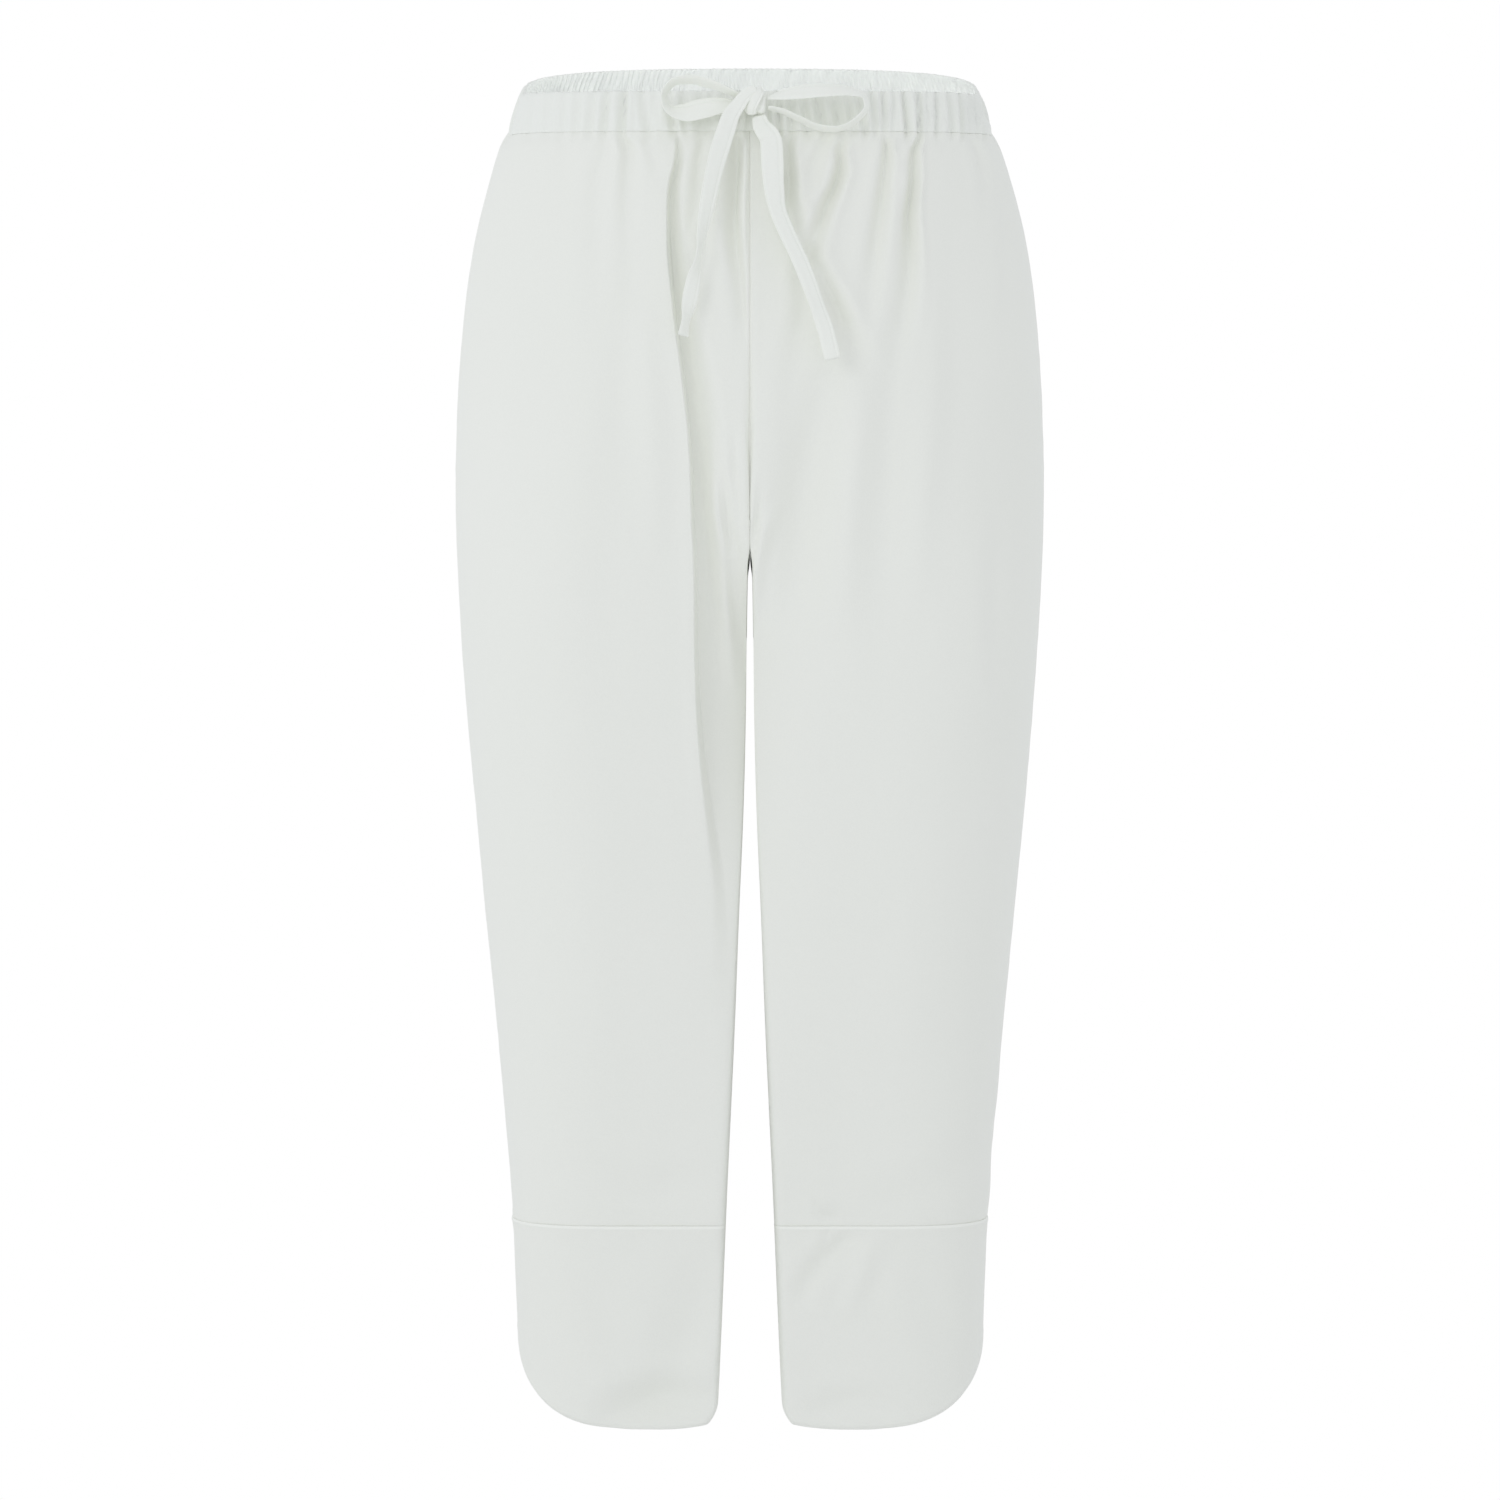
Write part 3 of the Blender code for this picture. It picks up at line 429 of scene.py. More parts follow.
BAND_PROFILE = (  # height, and how round the edge is there
    (0, 0.12), (0.35, 0.07), (1, 0.03), (2.2, 0), (4.5, 0), (7.5, 0), (11, 0), (14.5, 0), (18, 0), (21, 0),
    (23, 0.08), (24.2, 0.4), (24.8, 1),
)

# The bow: rows of x, y, z, width and lean. lean 0 shows the viewer the tape's edge and 90 its face.
TAPE_WALL = 1.5
TAPE_ROUTES = {
    "drawstring_loop_right": (
        (-4.6, -111.5, -2.6, 5, 20), (-12, -113, 0.4, 7, 24), (-23, -114, 4.6, 9.5, 26),
        (-37, -113, 7.6, 10, 24), (-47, -110.5, 5.4, 10, 20), (-51.6, -108.5, -1.6, 10, 18),
        (-48.6, -108, -9, 10, 34), (-40, -109, -11.4, 12.4, 64), (-29, -110.5, -9.6, 13, 74),
        (-17, -111.5, -7.8, 10.6, 70), (-9, -111.5, -7.6, 7.4, 50), (-4.6, -111.2, -8.6, 5, 20),
    ),
    "drawstring_loop_left": (
        (10.6, -111.5, -3.4, 5, 20), (17, -113, -2, 7.4, 45), (30, -114.5, 0, 10.4, 58),
        (46, -114, 1.2, 10.4, 54), (60, -110.5, 1, 10, 38), (68, -108, -1.6, 10, 22),
        (69.6, -106.5, -7.6, 10, 14), (63.6, -106.5, -15.6, 10, 12), (53, -107.5, -21, 10, 12),
        (41, -109, -20.4, 10, 14), (29, -110.5, -15.4, 9, 16), (18, -111, -10.6, 7, 18),
        (10.6, -111.2, -9, 5, 20),
    ),
    "drawstring_end_right": (
        (3.6, -117.1, 0.6, 6.4, 90), (0.4, -117.6, -0.4, 7, 90), (-3.4, -118.6, -3.6, 7.6, 88),
        (-6.6, -119.4, -8, 8.4, 84), (-10.6, -120.2, -13.6, 10, 76), (-14.6, -121.4, -24.6, 11.6, 74),
        (-19, -124, -39, 11.8, 70), (-22.6, -127, -54.6, 11, 66), (-26, -129.6, -72, 10, 60),
        (-28.4, -131.4, -86, 9, 40), (-30.6, -132.4, -100, 9.4, 16), (-33.4, -133.2, -114, 9.8, 60),
        (-36, -134, -127, 9.6, 64), (-38.2, -134.8, -139, 9, 30), (-39.6, -135.4, -147.4, 9, 46),
    ),
    "drawstring_end_left": (
        (5.4, -111.8, -13.9, 8, 90), (6.4, -112.4, -18.6, 10, 88), (12, -117.6, -28, 12.8, 86),
        (13.2, -121.6, -40, 13.4, 84), (14, -125.6, -56, 12.6, 78), (16.2, -128.6, -71, 10.8, 72),
        (22, -131, -86, 10, 70), (29, -133, -101, 10.2, 70), (34.8, -134.6, -115.6, 10.2, 68),
        (40, -136, -130, 10, 62), (44.4, -137, -143, 10, 76), (49, -138, -161.4, 9.6, 84),
    ),
}
TAPE_STEPS = 10
TAPE_RING = 64
TAPE_UNEVEN = 0.035
TAPE_SHAPE = (0.62, 0.8)  # powers of its section, across and through
TAPE_STITCHES = ((-0.3, 0.55), (0.44, 0.4))  # place across the tape, of its width, and breadth
TAPE_STITCH_DEPTH = 0.55
TAPE_WAVER = 0.16
TAPE_ENDS = (0.75, 0.85)
KNOT_CENTRE = (3.0, -109.4, -6.5)
KNOT_HALF_SIZE = (6.4, 6.5, 6.4)
KNOT_CUTS = 15
KNOT_DENT = 0.05
KNOT_CREASE = 0.12
KNOT_WRAP_WALL = 1.6
KNOT_WRAP_STEPS = 8
KNOT_WRAP = (
    (6.8, -112.2, 1.0, 5.0, 84.0),
    (6.0, -115.6, 0.6, 5.6, 84.0),
    (4.6, -117.4, -2.6, 5.8, 84.0),
    (2.6, -117.8, -6.4, 5.8, 84.0),
    (1.0, -117.0, -10.2, 5.6, 84.0),
    (1.0, -114.4, -13.4, 5.2, 84.0),
)

# Light: the surroundings' strength and its slope along x, y and z. Then the softbox: azimuth from the front
# in degrees, negative to the viewer's left, height, distance, its width and height in metres, and power.
WORLD_LEVEL = 0.846
WORLD_SLOPE = (-0.039, 0.03, -0.094)
WORLD_COLOUR = (0.98, 0.995, 1.045)
LAMP_COLOUR = (0.995, 0.995, 1.025)
LAMP_TARGET = (0.0, 0.0, -0.39)
SOFTBOX = (-32.0, 0.6, 3.0, 1.0, 1.4, 6.4)
WAIST_FILL_SIZE = (0.10, 0.05)
WAIST_FILL_PLACE = (0.075, -0.04, -0.045)
WAIST_FILL_TARGET = (0.0, 0.12, 0.035)
WAIST_FILL_POWER = 0.062
WAIST_FILL_COLOUR = (0.96, 0.98, 1.09)
FLOOR_RADIUS = 1040.0
FLOOR_LEVEL = -1030.0
FLOOR_SIDES = 96
FLOOR_GLOW = 0.03
CAMERA_LENS = 116.13
CAMERA_SENSOR = 36.0


def column(table, names, name):
    return np.array([row[names.index(name)] for row in table], float)


def through(places, values, at):
    """A smooth curve through the values, read at other places."""
    places = np.asarray(places, float)
    values = np.asarray(values, float)
    if places[0] > places[-1]:
        places, values = places[::-1], values[::-1]
    slopes = np.gradient(values, places)
    at = np.clip(np.asarray(at, float), places[0], places[-1])
    k = np.clip(np.searchsorted(places, at) - 1, 0, len(places) - 2)
    step = places[k + 1] - places[k]
    t = (at - places[k]) / step
    rise = values[k + 1] - values[k]
    start, end = slopes[k] * step, slopes[k + 1] * step
    return values[k] + t * (start + t * (3 * rise - 2 * start - end + t * (start + end - 2 * rise)))


def ease(start, end, at):
    """0 at start, 1 at end, and smooth between them."""
    t = np.clip((np.asarray(at, float) - start) / (end - start), 0, 1)
    return t * t * (3 - 2 * t)


def signed_power(value, power):
    return np.sign(value) * np.abs(value) ** power


def unit(vectors):
    return vectors / np.maximum(np.linalg.norm(vectors, axis=-1, keepdims=True), 1e-9)


def soft_noise(a, b, seed):
    """Smooth noise between -1 and 1 over a plane, the same on every run."""
    lattice = np.random.default_rng(seed).uniform(-1, 1, (64, 64))
    i, j = np.floor(a).astype(int), np.floor(b).astype(int)
    s, t = a - i, b - j
    s, t = s * s * (3 - 2 * s), t * t * (3 - 2 * t)
    near = lattice[i % 64, j % 64] * (1 - s) + lattice[(i + 1) % 64, j % 64] * s
    far = lattice[i % 64, (j + 1) % 64] * (1 - s) + lattice[(i + 1) % 64, (j + 1) % 64] * s
    return near * (1 - t) + far * t


def size_at(name, level):
    levels = column(SECTIONS, SECTION_COLUMNS, "level")
    return through(levels, column(SECTIONS, SECTION_COLUMNS, name), level)


def torso_turn(u):
    return np.pi * (u - TORSO_TURN * np.sin(2 * np.pi * u))


def waistline(u):
    """How far the waistline lies above its height at the side seam."""
    forward = np.cos(torso_turn(u))
    return np.where(forward > 0, FRONT_DIP * np.abs(forward), BACK_RISE * np.abs(forward) ** BACK_RISE_POWER)


def torso_curve(u, level):
    """x and y of places on the torso's section, where both legs are one form."""
    depth = np.where(u < 0.5, size_at("front", level), size_at("back", level))
    turn = torso_turn(u)
    x = size_at("half_width", level) * np.abs(np.sin(turn)) ** (2 / TORSO_POWER)
    return x, -depth * signed_power(np.cos(turn), 2 / TORSO_POWER)


def leg_curve(u, level):
    """x and y of places on one leg's section: an oval, squarer on the side that faces the other leg."""
    half_width = size_at("half_width", level)
    inner = size_at("inner", level)
    depth = np.where(u < 0.5, size_at("front", level), size_at("back", level))
    cosine, sine = np.cos(2 * np.pi * u), np.sin(2 * np.pi * u)
    power = 2 / (LEG_POWER + (CUFF_POWER - LEG_POWER) * ease(CUFF_FORM_TOP, CUFF_SEAM, level))
    square = np.where(u < 0.5, FRONT_SQUARE, BACK_SQUARE)
    square = 1 / (1 / square + (1 / LOW_SQUARE - 1 / square) * ease(SQUARE_FADES_FROM, CUFF_SEAM, level))
    reach = (np.abs(cosine) ** square + np.abs(sine) ** square) ** (-1 / square)
    facing = cosine > 0
    across = np.where(facing, cosine * reach, signed_power(cosine, power))
    along = np.where(facing, sine * reach, signed_power(sine, power))
    fall = INNER_FALL * ease(*FALL_FORMS, level) * (1 - ease(*FALL_FADES, level))
    along = along * (1 - fall * np.clip(across, 0, 1) ** 3)
    x = (half_width + inner) / 2 - (half_width - inner) / 2 * across
    hollow = INNER_HOLLOW * ease(*HOLLOW_FORMS, level) * (1 - ease(*HOLLOW_FADES, level))
    x = x + hollow * ease(0.9, 0.6, np.abs(along)) * ease(0.9, 1.0, across)
    behind = CROTCH_Y * ease(CROTCH_Y_FADES_AT, CROTCH, level) * np.clip(cosine, 0, 1) * (1 - np.abs(along))
    return x, -depth * along + behind


def seam_place(face, level, start):
    """y of the centre seam, which leaves its start on the face at the curve's top and reaches the crotch."""
    top = (FRONT_CURVE_TOP, BACK_CURVE_TOP)[face]
    down = np.clip((top - level) / (top - CROTCH), 0, 1)
    share = 1 - (1 - down**SEAM_CURVE_POWER) ** (1 / SEAM_CURVE_POWER)
    return start + (CROTCH_Y - start) * share


def crossing_row(u, level, face):
    """x and y of places along one level where the torso becomes two legs."""
    fine = np.linspace(0, 0.5, RING_SAMPLES) if face == 0 else np.linspace(1, 0.5, RING_SAMPLES)
    torso = np.stack(torso_curve(fine, level), axis=-1)
    leg = np.stack(leg_curve(fine, level), axis=-1)
    seam = np.array([size_at("inner", level), seam_place(face, level, SEAM_START * leg[CORNER_SAMPLE, 1])])
    facing = leg[: CORNER_SAMPLE + 1]
    inner_side = np.concatenate([seam[None], facing[(facing[:, 1] - seam[1]) * (-1, 1)[face] > 0]])
    run_side = path_length(inner_side)
    outer = leg[CORNER_SAMPLE:]
    run_face = path_length(outer)
    place = np.abs(u - fine[0]) * 2
    on_side = np.clip(place / CORNER_PLACE, 0, 1)
    along_side = on_side * run_side[-1]
    along_face = np.interp(place, np.linspace(CORNER_PLACE, 1, len(run_face)), run_face)
    at_side = [np.interp(along_side, run_side, inner_side[:, axis]) for axis in (0, 1)]
    at_face = [np.interp(along_face, run_face, outer[:, axis]) for axis in (0, 1)]
    share_torso = path_length(torso) / path_length(torso)[-1]
    at_torso = TORSO_CORNER * on_side + (1 - TORSO_CORNER) * along_face / run_face[-1]
    near = [np.interp(at_torso, share_torso, torso[:, axis]) for axis in (0, 1)]
    formed = (FRONT_CURVE_TOP, BACK_CURVE_TOP)[face]
    share = ease(LEG_FORM_TOP, formed + (LEG_FORM_LOW - formed) * ease(*CROSSING_SPREAD, at_torso), level)
    far = [np.where(place < CORNER_PLACE, at_side[axis], at_face[axis]) for axis in (0, 1)]
    return near[0] + (far[0] - near[0]) * share, near[1] + (far[1] - near[1]) * share


def body_section(u, level):
    """x, y and z of places on one smooth half, before any fold; u and level may be rows of a panel."""
    u, level = np.broadcast_arrays(np.asarray(u, float), np.asarray(level, float))
    torso_x, torso_y = torso_curve(u, level)
    leg_x, leg_y = leg_curve(u, level)
    share = ease(LEG_FORM_TOP, LEG_FORM_LOW, level)
    x = torso_x + (leg_x - torso_x) * share
    y = torso_y + (leg_y - torso_y) * share
    if u.ndim == 2:
        face = 0 if u.min() < 0.5 else 1
        for k in np.flatnonzero((level[:, 0] < LEG_FORM_TOP) & (level[:, 0] > LEG_FORM_LOW)):
            x[k], y[k] = crossing_row(u[k], level[k, 0], face)
    z = level + waistline(u) * (1 - ease(WAIST_SEAM, DIP_FADES_AT, level))
    return np.stack([np.maximum(x, SEAM_GAP / 2), y, z], axis=-1)


def flat_normals(points):
    """Outward horizontal normals along rows that run from the centre front to the centre back."""
    along = np.gradient(points[..., :2], axis=-2)
    return unit(np.stack([along[..., 1], -along[..., 0]], axis=-1))


def path_length(points):
    """Length along each row of points, from 0."""
    steps = np.linalg.norm(np.diff(points, axis=-2), axis=-1)
    return np.concatenate([np.zeros(steps.shape[:-1] + (1,)), np.cumsum(steps, axis=-1)], axis=-1)


def seen(points, face):
    """Pixel column and row of points, from in front (face 0) or from behind (face 1)."""
    away = VIEW_DISTANCE + points[..., 1] * (1, -1)[face]
    reach = VIEW_DISTANCE / away / PIXEL
    return VIEW_CENTRE + points[..., 0] * reach, VIEW_CENTRE - (points[..., 2] - VIEW_LEVEL) * reach


def fold_profile(off):
    """A trough with a soft roll on each side; off is in breadths from its bottom."""
    return 0.3 * (np.exp(-((off - 2.0) ** 2)) + np.exp(-((off + 2.0) ** 2))) - np.exp(-(off**2))


def started(first, py):
    """0 well above a fold's first row and 1 below it."""
    return ease(first - FOLD_STARTS[0], first - FOLD_STARTS[1], py)


def long_folds(px, py, folds):
    """Moves of the cloth by folds that run down it, and how strongly each place is folded."""
    moved = np.zeros(px.shape)
    strength = np.zeros(px.shape)
    for rows in folds:
        y, x, depth, left, right = np.array(rows, float).T
        off = px - through(y, x, py)
        breadth = np.where(off < 0, np.interp(py, y, left), np.interp(py, y, right))
        deep = FOLD_DEPTH * np.interp(py, y, depth) * started(y[0], py)
        moved += deep * fold_profile(off / breadth)
        strength += deep * np.exp(-((off / breadth / 2) ** 2))
    return moved, strength


def lapped_pleats(px, py, pleats):
    """Moves of the cloth towards the viewer by pleats, and how closely they need columns."""
    moved = np.zeros(px.shape)
    crowding = np.zeros(px.shape)
    for rows in pleats:
        y, x, drop, wall, floor, rise = np.array(rows, float).T
        off = px - through(y, x, py)
        deep, wall, floor, rise = (np.interp(py, y, values) for values in (drop, wall, floor, rise))
        deep = deep * started(y[0], py)
        crest = PLEAT_CREST * np.exp(-((np.minimum(off, 0) / PLEAT_CREST_BREADTH) ** 2))
        fallen = ease(0, wall, off) * (1 + crest)
        risen = ease(wall + PLEAT_RISE_START * floor, wall + floor + rise, off)
        moved += deep * (crest - fallen + risen)
        crowding += PLEAT_CROWDING * deep * np.exp(-(((off - wall / 2) / PLEAT_CROWDING_BREADTH) ** 2))
    return moved, crowding


def stroke_folds(px, py, strokes):
    """Moves of the cloth by soft folds along drawn paths."""
    moved = np.zeros(px.shape)
    for path, depth, breadth in strokes:
        corners = np.array(path, float)
        length = path_length(corners)
        marks = np.linspace(0, length[-1], STROKE_MARKS)
        points = np.stack([through(length, corners[:, axis], marks) for axis in (0, 1)], axis=-1)
        nearest = np.full(px.shape, 1e9)
        share = np.zeros(px.shape)
        for k, (a, b) in enumerate(zip(points, points[1:])):
            step = b - a
            t = np.clip(((px - a[0]) * step[0] + (py - a[1]) * step[1]) / (step @ step), 0, 1)
            distance = np.hypot(px - a[0] - t * step[0], py - a[1] - t * step[1])
            share = np.where(distance < nearest, (k + t) / (len(points) - 1), share)
            nearest = np.minimum(distance, nearest)
        faded = STROKE_DEPTH * depth * np.sin(np.pi * share) ** STROKE_FADE
        moved += faded * fold_profile(nearest / breadth)
    return moved


def cloth_noise(px, py, seed):
    """Broad waves, soft dents and small unevenness of hanging crepe, in mm."""
    moved = 0
    for k, (height, wide, tall, right, down) in enumerate(CLOTH_NOISE):
        moved = moved + height * soft_noise(px / wide + right, py / tall + down, seed + k)
    return moved


def edge_roll(distance, breadth=EDGE_STEPS[-1]):
    """How the cloth sinks at a seam and stands out softly beside it."""
    height, place, reach = SEAM_RIDGE
    return -ROLL * (1 - ease(0, breadth, distance)) + height * np.exp(-(((distance - place) / reach) ** 2))


def column_places(share, length, corner, density, counts):
    """Places of each row's columns, as shares of its samples.

    They run along the side that faces the other leg to its corner, which always has a column, and then over
    the face to the side seam.
    """
    edge = SEAM_GAP / 2 + np.array(EDGE_STEPS)
    side = 1 - (1 - np.linspace(0, 1, counts[0] + 1)[1:]) ** SIDE_CROWDING
    places = []
    for row, turn, dense in zip(length, corner, density):
        near = edge * min(1, EDGE_LIMIT * turn / edge[-1])
        facing = near[-1] + (turn - near[-1]) * side
        weight = np.concatenate([[0], np.cumsum((dense[1:] + dense[:-1]) / 2 * np.diff(row))])
        ends = np.interp([turn, row[-1] - edge[-1] - 1.0], row, weight)
        middle = np.interp(np.linspace(*ends, counts[1] + 1)[1:], weight, row)
        places.append(np.interp(np.concatenate([near, facing, middle, row[-1] - edge[::-1]]), row, share))
    return np.array(places)


def turned_in(grid, outward):
    """The grid with its seam allowances, which run inwards from all of its edges."""
    for axis in (0, 1):
        first, first_out = np.take(grid, [0], axis), np.take(outward, [0], axis)
        last, last_out = np.take(grid, [-1], axis), np.take(outward, [-1], axis)
        before = [first - first_out * depth for depth in TURN_IN[::-1]]
        after = [last - last_out * depth for depth in TURN_IN]
        grid = np.concatenate([*before, grid, *after], axis=axis)
        count = len(TURN_IN)
        outward = np.concatenate([first_out] * count + [outward] + [last_out] * count, axis=axis)
    return grid


def mesh_object(name, points, faces, material):
    """A named object from points in millimetres."""
    mesh = bpy.data.meshes.new(name)
    mesh.from_pydata((np.asarray(points) * MM).tolist(), [], faces)
    mesh.materials.append(material)
    mesh.shade_smooth()
    made = bpy.data.objects.new(name, mesh)
    bpy.context.scene.collection.objects.link(made)
    return made


def grid_faces(rows, columns, flip, wrap=False):
    """Quads of a grid of points; with wrap its last row joins its first."""
    index = np.arange(rows * columns).reshape(rows, columns)
    if wrap:
        index = np.concatenate([index, index[:1]], axis=0)
    corners = [index[:-1, :-1], index[:-1, 1:], index[1:, 1:], index[1:, :-1]]
    quads = np.stack(corners, axis=-1).reshape(-1, 4)
    return (quads[:, ::-1] if flip else quads).tolist()


def add_shell(name, grid, material, flip, thickness):
    """Cloth of an even thickness whose outer face is the grid."""
    made = mesh_object(name, grid.reshape(-1, 3), grid_faces(*grid.shape[:2], flip), material)
    solid = made.modifiers.new("thickness", "SOLIDIFY")
    solid.thickness = thickness * MM
    solid.offset = -1
    return made


def panel_levels(face):
    """Levels of a panel's rows, closest at the waist and looser down the leg."""
    edge = np.array(EDGE_STEPS)
    stretches = [WAIST_SEAM - edge]
    last = WAIST_SEAM
    for first_step, lowest, step in ROW_STRETCHES:
        stretches.append(np.arange(last - first_step, lowest, -step))
        last = stretches[-1][-1]
    stretches.append(np.linspace(last - LEG_CLEAR[0], CUFF_SEAM + LEG_CLEAR[1], LEG_ROWS[face]))
    return np.concatenate([*stretches, CUFF_SEAM + edge[::-1]])


def seam_puckers(distance, along, seed):
    """Small crosswise puckers that a sewn seam draws into the cloth next to it."""
    waves = soft_noise(along / PUCKER_PITCH, np.full(np.shape(along), 0.5), seed)
    return PUCKER_HEIGHT * waves * np.exp(-((distance / PUCKER_REACH) ** 2))


def waist_gathers(arc, down, face, seed):
    """The short gathers right under the waist seam."""
    waves = soft_noise(arc / WAIST_GATHER_SIZE[0], down / WAIST_GATHER_SIZE[1], seed)
    return WAIST_GATHER_DEPTH[face] * np.exp(-down / WAIST_GATHER_REACH[face]) * waves


def add_panel(name, side, face, material):
    """A leg panel from the waist seam to the cuff seam."""
    levels = panel_levels(face)
    share = np.linspace(0, 1, RING_SAMPLES)
    start = (0, 1)[face]
    u_fine = start + (0.5 - start) * share
    mirror = np.array([side, 1, 1])
    ring = body_section(u_fine, levels[:, None])
    length = path_length(ring)
    corner = np.where(levels > LEG_FORM_TOP, TORSO_CORNER * length[:, -1], length[:, CORNER_SAMPLE])
    folds = (FRONT_FOLDS, BACK_FOLDS)[face][side]
    strokes = (FRONT_STROKES, BACK_STROKES)[face][side]
    pleats = FRONT_PLEATS[side] if face == 0 else ()
    ring_seen = seen(ring * mirror, face)
    density = 1 + FOLD_CROWDING * (long_folds(*ring_seen, folds)[1] + lapped_pleats(*ring_seen, pleats)[1])
    from_corner = np.abs(length - corner[:, None]) / CORNER_CROWDING_BREADTH
    density += CORNER_CROWDING * np.exp(-(from_corner**2)) * ease(*CORNER_CROWDING_FORMS, levels)[:, None]
    places = column_places(share, length, corner, density, (FRONT_COLUMNS, BACK_COLUMNS)[face])
    grid = body_section(start + (0.5 - start) * places, levels[:, None])
    below_crotch = levels <= CROTCH
    out = flat_normals(grid) * (1, -1)[face]
    out[:, -1] = (1, 0)
    out[below_crotch, 0] = (-1, 0)
    out[~below_crotch, : len(EDGE_STEPS) + 1] = (0, (-1, 1)[face])
    outward = np.concatenate([out, np.zeros(out.shape[:-1] + (1,))], axis=-1)
    off = grid[..., 0] - size_at("inner", levels)[:, None]
    out[..., 0] *= 1 - (1 - ease(*INNER_CALM, off)) * ease(LEG_FORM_TOP, INNER_CALM_LEVEL, levels)[:, None]
    px, py = seen(grid * mirror, face)
    from_start = path_length(grid)
    from_end = from_start[:, -1:] - from_start
    inward = corner[:, None] - from_start
    facing = ease(0, 1, inward)
    out[..., 0] *= 1 - facing
    out[..., 1] += ((-1, 1)[face] - out[..., 1]) * facing
    seam_shows = 1 - ease(*SEAM_SHOWS, corner)[:, None]
    calm = 1 - ease(*HIDDEN_CALM, inward)
    top_distance = np.broadcast_to(WAIST_SEAM - levels[:, None], px.shape)
    low_distance = np.broadcast_to(levels[:, None] - CUFF_SEAM, px.shape)
    moved = long_folds(px, py, folds)[0] + stroke_folds(px, py, strokes)
    moved = moved + cloth_noise(px, py, 11 + 7 * face + 3 * side)
    moved = moved * ease(0, START_CALM, from_start) * ease(0, END_CALM, from_end)
    at_band = (1 - ease(0, BAND_FOLLOWS, top_distance)) * (1, 0)[face]
    at_top = WAIST_SHARE + (1 - WAIST_SHARE) * ease(0, TOP_CALM, top_distance)
    moved = moved * at_top * ease(-1, LOW_CALM, low_distance)
    moved = moved * (1 - at_band) + band_relief(px, np.zeros(px.shape)) * at_band
    moved = moved + waist_gathers(from_end, top_distance, face, 31 + side + 5 * face)
    seed = 51 + side + 4 * face
    along = np.broadcast_to(levels[:, None], px.shape)
    moved = moved + seam_puckers(from_end, along, seed) + seam_puckers(low_distance, from_end, seed + 40)
    moved = moved + edge_roll(from_end) + WAIST_ROLL * edge_roll(top_distance)
    moved = moved + CUFF_SEAM_ROLL[0] * edge_roll(low_distance)
    inseam = seam_puckers(from_start, along, seed + 20) + edge_roll(from_start, INSEAM_ROLL_BREADTH)
    moved = (moved + inseam * seam_shows) * calm
    grid[..., :2] += out * moved[..., None]
    lapped = lapped_pleats(px, py, pleats)[0] * ease(0, START_CALM, from_start)
    lapped = lapped * ease(0, TOP_CALM, top_distance)
    grid[..., 1] -= lapped * calm
    grid[..., 0] = np.maximum(grid[..., 0], SEAM_GAP / 2)
    grid = turned_in(grid, outward)
    grid[..., 0] = np.maximum(grid[..., 0], SEAM_GAP / 2)
    return add_shell(name, grid * mirror, material, (side == 1) == (face == 0), CLOTH_THICKNESS)


def hem_height(u):
    """How far the cuff's edge rises above the hem: nothing at the middle, most at the outseam."""
    from_outseam = np.abs(u - 0.5) / CORNER_SWEEP
    return (OUTSEAM_END - HEM) * np.clip(1 - from_outseam, 0, 1) ** CORNER_POWER


